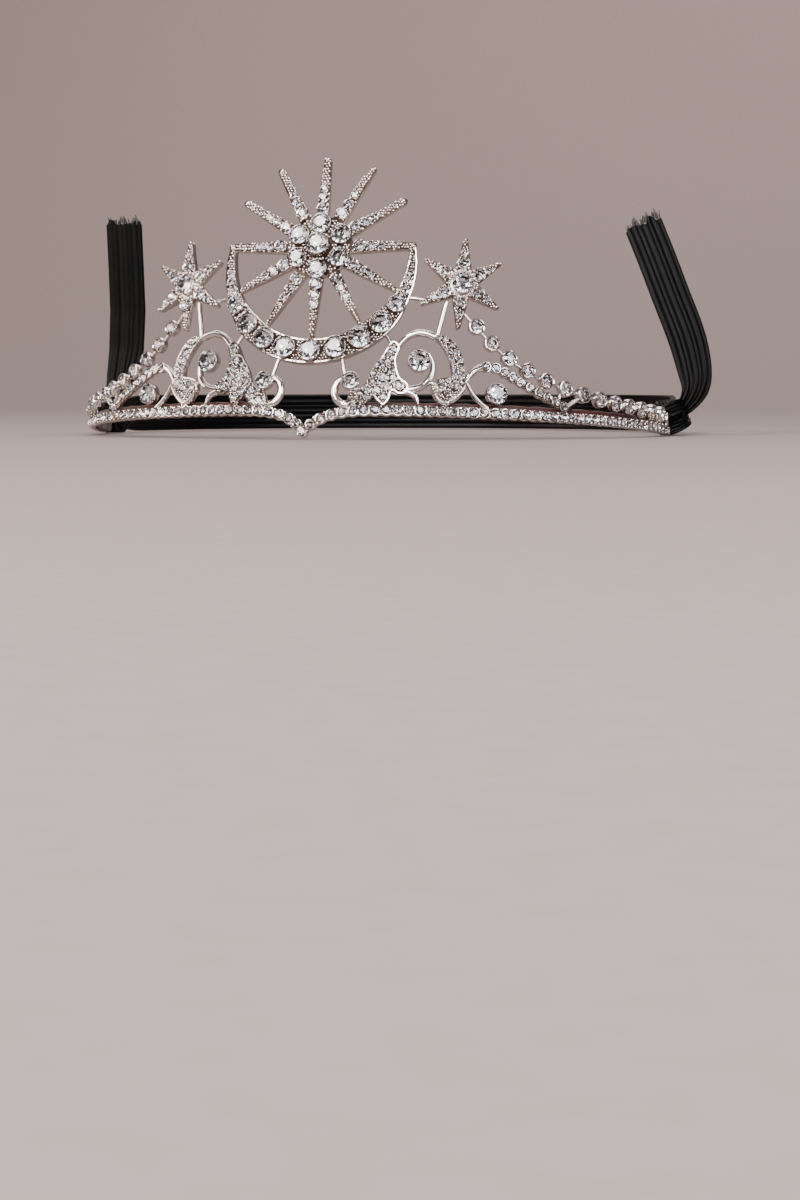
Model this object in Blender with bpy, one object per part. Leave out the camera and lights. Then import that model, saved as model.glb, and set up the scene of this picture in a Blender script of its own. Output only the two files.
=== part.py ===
"""A cast and soldered metal tiara set with clear stones: a band with a dip at the front, a crescent
with a twelve-rayed burst over it, scrolls, a six-pointed star on each side, and a chain of bezels
that runs from each star down to the band's end. A ribbon lines the band on each side, and a flat
elastic is knotted to a loop at each end and goes round the back of the head.

The metalwork is drawn on a flat pattern and bent onto the leaning face. In the pattern u runs to
the right along the face, h runs up it from the band's lower edge, and n stands out from it. All
sizes here are in millimetres; the objects are in metres, with +Z up and the front towards -Y.
"""

import math

import bmesh
import bpy
import numpy as np
from mathutils import Matrix, Vector

MM = 0.001
GAP = 0.3  # left between pieces that touch

# The band's plan and the face's lean
PLAN_RADIUS = 80.0  # of the band's back
PLAN_CENTRE_Y = 41.98  # puts the origin under the middle of the metalwork
BAND_END = 118.0  # along the band from its middle to either end
LEAN = math.radians(20.0)  # of the face at the front, backwards
FRONT_RISE = 5.638  # the band stands on its dip and its ends, so the front is this much higher

# The band
BAND_MIDDLE = 1.65  # height of its row of stones
BAND_HALF = 1.65
BAND_THICK = 1.7
DIP_DEPTH = 6.0
DIP_REACH = 4.5

# Back and front of each kind of flat piece, measured out from the face
WIRE = (0.25, 1.35)
PAVE = (0.1, 1.75)
LEAF_DEPTH = (0.15, 1.75)
BULB_DEPTH = (0.2, 1.7)
LINK_DEPTH = (0.4, 1.2)
CHAIN_LINK_DEPTH = (0.45, 1.1)
CRESCENT_DEPTH = (0.2, 1.85)
HUB_DEPTH = (0.4, 1.95)
RAY_DEPTH = (0.3, 2.0)
STAR_DEPTH = (0.3, 1.9)
STAR_BOSS_DEPTH = (0.35, 1.8)
CUP_BACK = 0.5
RAISED_CUP_BACK = 0.8

# Crescent: its middle line is a round that opens towards the horns
CRESCENT_CENTRE = 39.0
CRESCENT_RADIUS = 22.0
CRESCENT_OPENS = 2.6
HORN_ANGLE = 105.0
# angle from the bottom in degrees, half width
CRESCENT_WIDTHS = ((0, 3.3), (50, 3.25), (62, 2.6), (72, 2.0), (81, 1.7), (93, 1.3), (105, 0.75))
CRESCENT_STONES = ((0, 2.65), (17, 2.65), (33.5, 2.65), (50, 2.65), (65.5, 2.1))

# Burst
BURST_CENTRE = 45.2
BURST_RAYS = 12
BURST_RADIUS = 24.8
HUB_RADIUS = 8.4
HUB_SIDES = 24
RAY_ROOT = 6.9  # rays begin inside the hub
BLUNT_RAYS = 7  # the upper ones, counted anticlockwise from the right
# share of the way from the hub to the tip, half width
BLUNT_WIDTHS = ((0.0, 1.75), (0.3, 1.48), (0.6, 1.2), (0.9, 1.0), (0.96, 0.85), (1.0, 0.45))
POINTED_WIDTHS = ((0.0, 1.75), (0.35, 1.4), (0.7, 0.9), (0.95, 0.5), (1.0, 0.25))
RING_STONES = 6
RING_RADIUS = 6.25

# Stars
STAR_CENTRE = (37.5, 35.2)
STAR_TURN = -2.0
STAR_RADIUS = 12.0
STAR_ARMS = 6
STAR_BOSS_RADIUS = 4.1
STAR_ROOT = 1.5
ARM_WIDTHS = ((0.0, 2.35), (0.3, 1.95), (0.65, 1.05), (0.93, 0.5), (1.0, 0.25))

# Round stones that have a solid of their own: radius
BURST_STONE = 2.75
RING_STONE = 2.4
STAR_STONE = 2.5
SPIRAL_STONE = (27.6, 14.4, 2.6)
LOOP_STONE = (47.8, 6.5, 2.5)
CURL_STONE = (11.0, 8.9, 2.05)

# A setting is a turned cup, and a stone a turned brilliant
CUP_WALL = 0.35
CUP_FLOOR = 1.9
CUP_RIM = 2.9
CUP_RAISED = 1.7  # how much higher the burst's middle setting stands
CUP_SIDES = 12
STONE_SIDES = 12
PAVILION = 0.8
GIRDLE = 0.2
CROWN_SHARE = 0.36
TABLE_SHARE = 0.6
CULET_SHARE = 0.4

# Chain of bezels from the star to the band's end
CHAIN_COUNT = 13
CHAIN_START = 42.0
CHAIN_STEP = 6.15
CHAIN_LOW = 5.0
CHAIN_DROP = 19.0
CHAIN_REACH = 17.0
BEZEL_RADIUS = 2.1
BEZEL_WALL = 0.35
BEZEL_BACK, BEZEL_FLOOR, BEZEL_RIM = 0.15, 1.3, 2.1
BEZEL_SIDES = 8
CHAIN_LINK_HALF = 0.4

# Scrolls: u, h, half width
SCROLL_STEP = 2.0
CURL = ((11.0, 2.7, 0.9), (8.2, 3.9, 0.95), (7.0, 6.4, 0.95), (7.6, 9.0, 0.9), (9.6, 10.6, 0.85))
ARC = ((21.9, 18.4, 0.75), (24.1, 21.1, 0.9), (26.7, 22.3, 0.95), (29.3, 22.1, 0.95),
       (31.8, 21.0, 0.85))
ARM = ((31.6, 21.2, 0.8), (33.6, 20.1, 1.3), (35.4, 18.2, 1.6), (36.8, 15.8, 1.7), (37.6, 13.2, 1.6),
       (37.6, 10.6, 1.5), (36.9, 8.6, 1.5))
SPIRAL = ((24.4, 7.2, 1.1), (27.0, 7.6, 0.95), (29.2, 8.5, 0.95), (30.8, 10.4, 0.9),
          (31.3, 13.0, 0.72), (30.8, 15.4, 0.5), (29.5, 17.3, 0.28))
THORN = ((24.2, 7.0, 1.0), (26.4, 6.3, 0.85), (27.6, 5.1, 0.6), (28.2, 3.1, 0.3))
LOOP = ((39.4, 8.9, 0.8), (41.0, 11.5, 0.9), (43.0, 13.2, 1.0), (45.4, 13.9, 1.1))
LOOP_ARM = ((40.0, 9.6, 0.4), (42.0, 6.5, 0.5), (44.1, 4.3, 0.6), (46.3, 2.8, 0.8))
ARCH = ((44.6, 13.8, 1.2), (47.8, 13.5, 1.25), (50.3, 12.4, 1.25), (55.2, 10.0, 1.25),
        (60.5, 7.6, 1.25), (65.6, 5.5, 1.25), (71.0, 3.3, 1.2))
# Leaf and bulb outlines: u, h
LEAF = ((20.4, 19.7), (18.0, 15.4), (15.9, 12.2), (14.6, 8.6), (12.8, 7.2), (11.2, 6.6), (10.5, 2.7),
        (14.2, 2.7), (15.6, 3.9), (16.8, 5.3), (17.8, 4.2), (19.5, 2.9), (20.8, 4.6), (21.3, 6.7),
        (23.1, 5.9), (24.9, 6.4), (25.1, 8.5), (23.0, 10.3), (22.1, 12.7), (21.7, 15.3), (22.4, 18.3))
BULB = ((33.5, 4.3), (34.6, 2.6), (35.6, 2.6), (36.1, 4.2), (38.0, 5.9), (39.7, 8.2), (39.6, 9.9),
        (37.8, 10.9), (34.4, 10.5), (32.4, 10.0), (31.3, 8.4), (31.3, 6.5))
# Straight wires: from u, h to u, h, half width
LINKS = (
    (9.4, 10.8, 8.1, 15.6, 0.5),  # curl to crescent
    (20.4, 19.2, 18.2, 22.6, 0.5),  # leaf to crescent
    (33.7, 30.6, 31.8, 21.2, 0.6),  # star to arc
    (27.6, 31.1, 24.0, 31.6, 0.45),  # star to crescent
    (38.6, 27.4, 41.0, 24.9, 0.5),  # star to chain
    (30.4, 9.4, 32.2, 8.6, 0.5),  # spiral to bulb
    (56.4, 11.8, 55.4, 10.0, 0.5),  # chain to arch, three times
    (62.2, 10.2, 60.8, 7.8, 0.5),
    (67.6, 8.4, 66.2, 5.6, 0.5),
    (69.0, 4.4, 73.2, 6.9, 0.55),
)

# Loop for the elastic at each end of the band
END_LOOP = (121.4, 3.25)
END_LOOP_HALF = (3.3, 2.45)
END_LOOP_WIRE = 0.6
END_LOOP_BACK = 0.3
END_LOOP_POINTS = 16

# Ribbon lining, one on each side
LINING_START = 14.0
LINING_END = 121.0
LINING_HEIGHTS = (0.35, 4.5)
LINING_THICK = 1.4

# Elastic
ELASTIC_WIDTH = 10.5
ELASTIC_THICK = 1.8
ELASTIC_LIFT = 0.2
KNOT_RADII = (4.3, 4.9, 4.6)
KNOT_X = PLAN_RADIUS + 0.6
KNOT_Y = PLAN_CENTRE_Y + 1.2
KNOT_Z = 4.9
BACK_DEPTH = 88.0  # how far the elastic's arc reaches back beyond the knots
BACK_STEPS = 48
BACK_START_WIDTH = 7.0  # it is gathered where it leaves a knot
BACK_START_Z = 5.2
BACK_SPREAD = 1 / 14  # share of its length in which it spreads to its full width
# Cut ends: x and y from the middle of the knot, z, width. Their flat side faces the front
LEFT_TAIL = ((0.8, 1.2, 9.5, 6.4), (2.9, 2.6, 18.0, 9.8), (4.0, 3.2, 30.0, 10.5),
             (3.8, 2.8, 45.0, 10.5), (3.4, 2.2, 60.0, 10.5))
RIGHT_TAIL = ((4.1, 0.4, 8.3, 5.0), (6.4, 1.0, 12.9, 7.8), (5.9, 1.6, 18.6, 9.6),
              (3.6, 2.2, 27.0, 10.4), (-0.8, 2.8, 38.0, 10.5), (-4.9, 3.4, 48.3, 10.5),
              (-9.0, 4.0, 58.0, 10.5))


def rise(theta):
    """Height of the band's base line: a plane that tilts up to the front, as the tiara stands."""
    end = math.cos(BAND_END / PLAN_RADIUS)
    return FRONT_RISE * max(0.0, (math.cos(theta) - end) / (1 - end))


def bent(u, h, n=0.0):
    """The point of the leaning face where u, h and n of the flat pattern come, in millimetres."""
    theta = u / PLAN_RADIUS
    for _ in range(5):
        lean = LEAN * max(0.0, math.cos(theta)) ** 2
        theta = u / (PLAN_RADIUS - h * math.sin(lean))
    outward = Vector((math.sin(theta), -math.cos(theta), 0.0))
    up = Vector((0, 0, math.cos(lean))) - outward * math.sin(lean)
    out = outward * math.cos(lean) + Vector((0, 0, math.sin(lean)))
    base = outward * PLAN_RADIUS + Vector((0, PLAN_CENTRE_Y, rise(theta)))
    return base + up * h + out * n


def facing(u, h, n=0.0):
    """A matrix, in metres, that sets a piece on the face with its Z straight out of it."""
    at = bent(u, h)
    right = (bent(u + 0.5, h) - bent(u - 0.5, h)).normalized()
    up = (bent(u, h + 0.5) - bent(u, h - 0.5)).normalized()
    out = right.cross(up).normalized()
    turn = Matrix((right, out.cross(right), out)).transposed().to_4x4()
    return Matrix.Translation((at + out * n) * MM) @ turn


def material(name, colour, metallic, roughness, transmission=0.0):
    made = bpy.data.materials.new(name)
    made.use_nodes = True
    shader = made.node_tree.nodes["Principled BSDF"]
    shader.inputs["Base Color"].default_value = (*colour, 1.0)
    shader.inputs["Metallic"].default_value = metallic
    shader.inputs["Roughness"].default_value = roughness
    shader.inputs["Transmission Weight"].default_value = transmission
    return made


def add_object(name, bm, finish, matrix=None):
    """Closes a bmesh in metres into an object of its own, with its faces pointing out."""
    bmesh.ops.recalc_face_normals(bm, faces=bm.faces)
    mesh = bpy.data.meshes.new(name)
    bm.to_mesh(mesh)
    bm.free()
    made = bpy.data.objects.new(name, mesh)
    made.data.materials.append(finish)
    bpy.context.scene.collection.objects.link(made)
    if matrix is not None:
        made.matrix_world = matrix
    return made


def hide_as_piece(piece, pieces):
    """Leaves an object out of the render, as one of the shapes that a union joins."""
    bpy.context.scene.collection.objects.unlink(piece)
    pieces.objects.link(piece)
    piece.hide_render = True
    piece.display_type = "WIRE"


def bend_mesh(bm):
    """Takes a mesh from the flat pattern to the leaning face, in metres."""
    for vert in bm.verts:
        vert.co = bent(*vert.co) * MM


def loft(bm, rings, closed=False):
    """Joins rings of points into one skin, with a cap on each end unless it closes on itself."""
    loops = [[bm.verts.new(point) for point in ring] for ring in rings]
    sides = len(loops[0])
    pairs = list(zip(loops, loops[1:]))
    if closed:
        pairs.append((loops[-1], loops[0]))
    else:
        bm.faces.new(loops[0])
        bm.faces.new(loops[-1])
    for one, other in pairs:
        for i in range(sides):
            j = (i + 1) % sides
            bm.faces.new((one[i], one[j], other[j], other[i]))


def smooth_path(rows, step):
    """A curve through rows of u, h, half width (Catmull-Rom), with a point about every step."""
    rows = np.array(rows, float)
    padded = np.vstack([2 * rows[0] - rows[1], rows, 2 * rows[-1] - rows[-2]])
    found = []
    for a, b, c, d in zip(padded, padded[1:], padded[2:], padded[3:]):
        count = max(1, round(float(np.hypot(*(c - b)[:2])) / step))
        for t in np.arange(count) / count:
            found.append(0.5 * (2 * b + (c - a) * t + (2 * a - 5 * b + 4 * c - d) * t * t
                                + (3 * b - a - 3 * c + d) * t**3))
    found.append(rows[-1])
    return np.array(found)


def strip(rows, back, front, closed=False):
    """A flat bar along rows of u, h, half width, square in section and bent onto the face."""
    rows = np.array(rows, float)
    if closed:
        ahead = np.roll(rows, -1, 0)[:, :2] - np.roll(rows, 1, 0)[:, :2]
    else:
        ahead = np.gradient(rows[:, :2], axis=0)
    ahead /= np.linalg.norm(ahead, axis=1)[:, None]
    across = np.stack([-ahead[:, 1], ahead[:, 0]], axis=1)
    rings = []
    for (u, h, half), (du, dh) in zip(rows, across):
        left = (u + du * half, h + dh * half)
        right = (u - du * half, h - dh * half)
        rings.append([(*left, back), (*right, back), (*right, front), (*left, front)])
    bm = bmesh.new()
    loft(bm, rings, closed)
    bend_mesh(bm)
    return bm


def plate(outline, back, front):
    """A flat plate of this outline. It is cut into triangles while it is flat, then bent."""
    bm = bmesh.new()
    base = bm.faces.new([bm.verts.new((u, h, back)) for u, h in outline])
    grown = bmesh.ops.extrude_face_region(bm, geom=[base])["geom"]
    for vert in (item for item in grown if isinstance(item, bmesh.types.BMVert)):
        vert.co.z = front
    bmesh.ops.triangulate(bm, faces=bm.faces)
    bend_mesh(bm)
    return bm


def turned(profile, sides, scale=MM):
    """A solid turned about Z. The profile holds radius, height from the bottom middle to the top."""
    bm = bmesh.new()
    rings = []
    angles = [2 * math.pi * i / sides for i in range(sides)]
    for radius, height in profile:
        ring = [Vector((radius * math.cos(a), radius * math.sin(a), height)) for a in angles]
        rings.append([point * scale for point in ring])
    loft(bm, rings)
    return bm


def disc(u, h, radius, back, front, sides):
    bm = turned(((radius, back), (radius, front)), sides, scale=1.0)
    bmesh.ops.translate(bm, verts=bm.verts, vec=(u, h, 0))
    bend_mesh(bm)
    return bm


def cup(stone_radius, back, raised=0.0, wall=CUP_WALL, sides=CUP_SIDES):
    """A setting: a turned cup whose pocket is open to the front. Radii are given at the corners."""
    pocket = (stone_radius + GAP) / math.cos(math.pi / sides)
    outer = pocket + wall
    rim, floor = CUP_RIM + raised, CUP_FLOOR + raised
    return turned(((outer, back), (outer, rim), (pocket, rim), (pocket, floor)), sides)


def crescent_middle(angle):
    """u and h of the crescent's middle line at an angle from its bottom."""
    radius = CRESCENT_RADIUS + CRESCENT_OPENS * (abs(angle) / HORN_ANGLE) ** 2
    turn = math.radians(angle)
    return radius * math.sin(turn), CRESCENT_CENTRE - radius * math.cos(turn)


def crescent_rows():
    angles, halves = zip(*CRESCENT_WIDTHS)
    turns = np.linspace(-HORN_ANGLE, HORN_ANGLE, 43)
    return [(*crescent_middle(a), float(np.interp(abs(a), angles, halves))) for a in turns]


def band_rows():
    """The band's middle line, with a short step near the dip and a longer one along the sides."""
    near = np.array([0, 0.8, 1.8, 3.0, 4.4, 6.2, 8.4, 11.0, 14.0])
    along = np.linspace(near[-1], BAND_END, 36)[1:]
    right = np.concatenate([near, along])
    u = np.concatenate([-right[:0:-1], right])
    h = BAND_MIDDLE - DIP_DEPTH * np.exp(-np.abs(u) / DIP_REACH)
    return [(a, b, BAND_HALF) for a, b in zip(u, h)]


def ray_rows(centre, angle, start, tip, widths):
    """A ray from its hub, as rows of u, h, half width."""
    turn = math.radians(angle)
    rows = []
    for share, half in widths:
        radius = start + (tip - start) * share
        rows.append((centre[0] + radius * math.cos(turn), centre[1] + radius * math.sin(turn), half))
    return rows


def chain_height(u):
    return CHAIN_LOW + CHAIN_DROP * math.exp(-(u - CHAIN_START) / CHAIN_REACH)


def chain_places():
    """u and h of the bezels, an even step apart along the falling curve."""
    places = [(CHAIN_START, chain_height(CHAIN_START))]
    while len(places) < CHAIN_COUNT:
        u, h = places[-1]
        low, high = u, u + CHAIN_STEP
        for _ in range(30):
            middle = (low + high) / 2
            if math.hypot(middle - u, chain_height(middle) - h) < CHAIN_STEP:
                low = middle
            else:
                high = middle
        places.append((high, chain_height(high)))
    return places


def mirrored(rows, side):
    return [(side * row[0], *row[1:]) for row in rows]


def stone_places():
    """Name, u, h, radius and raise of every stone that has a solid of its own."""
    places = [("burst_stone", 0.0, BURST_CENTRE, BURST_STONE, CUP_RAISED)]
    for i in range(RING_STONES):
        turn = math.radians(90 + 360 * i / RING_STONES)
        u, h = RING_RADIUS * math.cos(turn), BURST_CENTRE + RING_RADIUS * math.sin(turn)
        places.append((f"ring_stone_{i + 1}", u, h, RING_STONE, 0.0))
    for i, (angle, radius) in enumerate(CRESCENT_STONES):
        u, h = crescent_middle(angle)
        if angle == 0:
            places.append(("crescent_stone_0", u, h, radius, 0.0))
            continue
        places.append((f"crescent_stone_r{i}", u, h, radius, 0.0))
        places.append((f"crescent_stone_l{i}", -u, h, radius, 0.0))
    singles = (("star_stone", *STAR_CENTRE, STAR_STONE), ("spiral_stone", *SPIRAL_STONE),
               ("loop_stone", *LOOP_STONE), ("curl_stone", *CURL_STONE))
    for name, u, h, radius in singles:
        places.append((f"{name}_r", u, h, radius, 0.0))
        places.append((f"{name}_l", -u, h, radius, 0.0))
    return places


def frame_pieces(side):
    """Every flat piece of the metalwork that has a mirror twin, for one side."""
    star = (side * STAR_CENTRE[0], STAR_CENTRE[1])
    yield disc(*star, STAR_BOSS_RADIUS, *STAR_BOSS_DEPTH, CUP_SIDES)
    for i in range(STAR_ARMS):
        angle = STAR_TURN + 360 * (i + 0.5) / STAR_ARMS
        if side < 0:
            angle = 180 - angle
        yield strip(ray_rows(star, angle, STAR_ROOT, STAR_RADIUS, ARM_WIDTHS), *STAR_DEPTH)
    for rows, depth in ((CURL, WIRE), (ARC, WIRE), (ARM, PAVE), (SPIRAL, WIRE), (THORN, WIRE),
                        (LOOP, WIRE), (LOOP_ARM, WIRE), (ARCH, PAVE)):
        yield strip(smooth_path(mirrored(rows, side), SCROLL_STEP), *depth)
    yield plate(mirrored(LEAF, side), *LEAF_DEPTH)
    yield plate(mirrored(BULB, side), *BULB_DEPTH)
    for u0, h0, u1, h1, half in LINKS:
        yield strip(mirrored(((u0, h0, half), (u1, h1, half)), side), *LINK_DEPTH)
    places = [(u, h, CHAIN_LINK_HALF) for u, h in chain_places()]
    for pair in zip(places, places[1:]):
        yield strip(mirrored(pair, side), *CHAIN_LINK_DEPTH)
    yield strip(end_loop_rows(side, END_LOOP_WIRE), *end_loop_depth(), closed=True)


def end_loop_depth(room=0.0):
    return END_LOOP_BACK - room, END_LOOP_BACK + 2 * END_LOOP_WIRE + room


def end_loop_rows(side, wire):
    """The rounded loop that takes the elastic, as rows round its middle line."""
    rows = []
    for i in range(END_LOOP_POINTS):
        turn = 2 * math.pi * (i + 0.5) / END_LOOP_POINTS
        # a superellipse, nearly a rectangle with round corners
        c, s = math.cos(turn), math.sin(turn)
        reach = (abs(c) ** 4 + abs(s) ** 4) ** -0.25
        u = END_LOOP[0] + END_LOOP_HALF[0] * reach * c
        h = END_LOOP[1] + END_LOOP_HALF[1] * reach * s
        rows.append((side * u, h, wire))
    return rows


def build_frame(finish):
    """The metalwork: the band, with everything that is cast or soldered onto it."""
    pieces = bpy.data.collections.new("frame_pieces")
    bpy.context.scene.collection.children.link(pieces)
    count = 0

    def add(bm, matrix=None):
        nonlocal count
        count += 1
        hide_as_piece(add_object(f"piece_{count:03d}", bm, finish, matrix), pieces)

    burst = (0, BURST_CENTRE)
    add(strip(crescent_rows(), *CRESCENT_DEPTH))
    add(disc(*burst, HUB_RADIUS, *HUB_DEPTH, HUB_SIDES))
    for i in range(BURST_RAYS):
        widths = BLUNT_WIDTHS if i < BLUNT_RAYS else POINTED_WIDTHS
        rows = ray_rows(burst, 360 * i / BURST_RAYS, RAY_ROOT, BURST_RADIUS, widths)
        add(strip(rows, *RAY_DEPTH))
    for side in (1, -1):
        for bm in frame_pieces(side):
            add(bm)
        for u, h in chain_places():
            pocket = BEZEL_RADIUS - BEZEL_WALL
            profile = ((BEZEL_RADIUS, BEZEL_BACK), (BEZEL_RADIUS, BEZEL_RIM),
                       (pocket, BEZEL_RIM), (pocket, BEZEL_FLOOR))
            add(turned(profile, BEZEL_SIDES), facing(side * u, h))
    for name, u, h, radius, raised in stone_places():
        back = RAISED_CUP_BACK if raised else CUP_BACK
        add(cup(radius, back, raised), facing(u, h))

    frame = add_object("metal_frame", strip(band_rows(), 0.0, BAND_THICK), finish)
    union = frame.modifiers.new("Solder", "BOOLEAN")
    union.operation = "UNION"
    union.solver = "EXACT"
    union.operand_type = "COLLECTION"
    union.collection = pieces
    return frame


def build_stones(finish):
    """One turned brilliant for each setting, held a gap away from its cup."""
    holder = bpy.data.objects.new("stones", None)
    bpy.context.scene.collection.objects.link(holder)
    meshes = {}
    for name, u, h, radius, raised in stone_places():
        if radius not in meshes:
            crown = PAVILION + GIRDLE + CROWN_SHARE * radius
            bm = turned(((CULET_SHARE * radius, 0), (radius, PAVILION), (radius, PAVILION + GIRDLE),
                         (TABLE_SHARE * radius, crown)), STONE_SIDES)
            first = add_object("stone", bm, finish)
            meshes[radius] = first.data
            bpy.data.objects.remove(first)
        stone = bpy.data.objects.new(name, meshes[radius])
        bpy.context.scene.collection.objects.link(stone)
        stone.parent = holder
        stone.matrix_world = facing(u, h, CUP_FLOOR + raised + GAP)


def build_lining(finish):
    """A ribbon behind the band on each side, from beyond the dip to the loop at the end."""
    low, high = LINING_HEIGHTS
    for side, name in ((1, "lining_right"), (-1, "lining_left")):
        along = np.linspace(LINING_START, LINING_END, 36)
        rows = [(side * u, (low + high) / 2, (high - low) / 2) for u in along]
        add_object(name, strip(rows, -GAP - LINING_THICK, -GAP), finish)


def ribbon(stations, thick):
    """A flat strap along rows of middle point, width vector, with a rectangular section."""
    middles = np.array([middle for middle, _ in stations])
    ahead = np.gradient(middles, axis=0)
    rings = []
    for middle, way, (_, width) in zip(middles, ahead, stations):
        side = np.array(width) / 2
        out = np.cross(way, side)
        out *= thick / 2 / np.linalg.norm(out)
        corners = (side + out, out - side, -side - out, side - out)
        rings.append([Vector(middle + corner) * MM for corner in corners])
    bm = bmesh.new()
    loft(bm, rings)
    return bm


def build_elastic(finish):
    """The flat elastic: a stretch round the back, a knot on each end loop and two cut ends."""
    start = math.asin((KNOT_RADII[1] + GAP) / BACK_DEPTH)
    full_z = ELASTIC_WIDTH / 2 + ELASTIC_LIFT
    stations = []
    for t in np.linspace(0, 1, BACK_STEPS + 1):
        turn = start + (math.pi - 2 * start) * t
        x, y = PLAN_RADIUS * math.cos(turn), KNOT_Y + BACK_DEPTH * math.sin(turn)
        spread = min(1.0, min(t, 1 - t) / BACK_SPREAD)
        eased = math.sin(spread * math.pi / 2)
        width = BACK_START_WIDTH + (ELASTIC_WIDTH - BACK_START_WIDTH) * eased
        z = BACK_START_Z + (full_z - BACK_START_Z) * spread
        stations.append(((x, y, z), (0, 0, width)))
    add_object("elastic_back", ribbon(stations, ELASTIC_THICK), finish)

    for side, name, tail in ((1, "right", RIGHT_TAIL), (-1, "left", LEFT_TAIL)):
        ball = bmesh.new()
        bmesh.ops.create_icosphere(ball, subdivisions=2, radius=1.0)
        bmesh.ops.scale(ball, verts=ball.verts, vec=Vector(KNOT_RADII) * MM)
        at = Vector((side * KNOT_X, KNOT_Y, KNOT_Z)) * MM
        bmesh.ops.translate(ball, verts=ball.verts, vec=at)
        knot = add_object(f"elastic_knot_{name}", ball, finish)
        room = strip(end_loop_rows(side, END_LOOP_WIRE + GAP), *end_loop_depth(GAP), closed=True)
        tunnel = add_object(f"loop_tunnel_{name}", room, finish)
        tunnel.hide_render = True
        tunnel.display_type = "WIRE"
        cut = knot.modifiers.new("Loop tunnel", "BOOLEAN")
        cut.operation = "DIFFERENCE"
        cut.solver = "EXACT"
        cut.object = tunnel

        rows = np.array(tail)
        middles = rows[:, :3] + (side * KNOT_X, KNOT_Y, 0)
        ahead = np.gradient(rows[:, :3], axis=0)
        across = np.stack([ahead[:, 2], 0 * ahead[:, 1], -ahead[:, 0]], axis=1)
        across *= (rows[:, 3] / np.linalg.norm(across, axis=1))[:, None]
        made = ribbon(list(zip(middles, across)), ELASTIC_THICK)
        add_object(f"elastic_end_{name}", made, finish)


def main():
    for old in list(bpy.data.objects):
        bpy.data.objects.remove(old)
    metal = material("rhodium plated alloy", (0.78, 0.77, 0.76), 1.0, 0.16)
    stone = material("clear glass stone", (0.96, 0.97, 1.0), 0.0, 0.02, transmission=0.9)
    ribbon_brown = material("brown satin ribbon", (0.16, 0.045, 0.018), 0.0, 0.45)
    elastic = material("black braided elastic", (0.012, 0.012, 0.014), 0.0, 0.6)
    build_frame(metal)
    build_stones(stone)
    build_lining(ribbon_brown)
    build_elastic(elastic)


main()
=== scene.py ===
# %% [markdown]
# # A rhinestone tiara
# The real tiara is cast and soldered white metal, plated with rhodium and set with clear glass
# stones. A satin ribbon lines its band, and a flat black elastic is knotted to its two ends.
# The metalwork was drawn flat and then bent, so it is made that way here too: every shape is a
# numpy surface in a flat pattern, u to the right, h up, n out of the face, all in millimetres,
# and one function bends the pattern onto the leaning face.

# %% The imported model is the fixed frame
import math

import bmesh
import bpy
import numpy as np
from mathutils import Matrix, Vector


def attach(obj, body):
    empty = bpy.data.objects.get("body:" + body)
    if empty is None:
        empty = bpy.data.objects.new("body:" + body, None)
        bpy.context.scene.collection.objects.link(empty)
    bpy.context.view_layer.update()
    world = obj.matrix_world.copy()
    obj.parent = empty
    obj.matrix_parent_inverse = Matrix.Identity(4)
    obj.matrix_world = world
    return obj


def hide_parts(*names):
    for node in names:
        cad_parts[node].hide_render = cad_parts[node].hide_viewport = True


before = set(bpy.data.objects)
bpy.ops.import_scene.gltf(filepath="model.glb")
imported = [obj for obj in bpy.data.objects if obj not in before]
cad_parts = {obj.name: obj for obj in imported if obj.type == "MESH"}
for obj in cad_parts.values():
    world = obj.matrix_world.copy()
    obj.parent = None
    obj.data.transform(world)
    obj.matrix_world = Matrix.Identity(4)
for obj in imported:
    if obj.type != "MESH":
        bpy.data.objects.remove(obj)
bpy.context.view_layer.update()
MM = 0.001

# %% [markdown]
# ## Camera
# The photograph looks up at the tiara from a little to the right of its front. A table leaves no
# room below, so the camera keeps that turn and goes as low as a table lets it. A camera is an
# object whose -Z axis looks forward, so a track quaternion turns that axis from its place to the
# point it looks at.

# %% The camera, 15 degrees round to the right and just above the table
CAMERA_PLACE = Vector((0.1921, -0.7170, 0.0140))
CAMERA_AIM = Vector((0.0151, 0.0, -0.0431))
FOCAL_LENGTH, FILM_WIDTH = 84.0, 36.0

lens = bpy.data.cameras.new("portrait_lens")
lens.lens = FOCAL_LENGTH
lens.sensor_width = FILM_WIDTH
lens.clip_start = 0.02
camera = bpy.data.objects.new("camera", lens)
camera.location = CAMERA_PLACE
camera.rotation_euler = (CAMERA_AIM - CAMERA_PLACE).to_track_quat("-Z", "Y").to_euler()
bpy.context.scene.collection.objects.link(camera)
bpy.context.scene.camera = camera
print("camera stands", round((CAMERA_AIM - CAMERA_PLACE).length, 3), "m from its aim")

# %% [markdown]
# ## From the flat pattern to the face
# The band is part of a circle seen from above, and the face leans back at the front and stands
# upright at the sides. One formula for whole arrays keeps every piece on the same surface as the
# CAD model.

# %% The bent face
PLAN_RADIUS, PLAN_CENTRE_Y = 80.0, 41.98
LEAN, FRONT_RISE, BAND_END = math.radians(20.0), 5.638, 118.0


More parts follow.
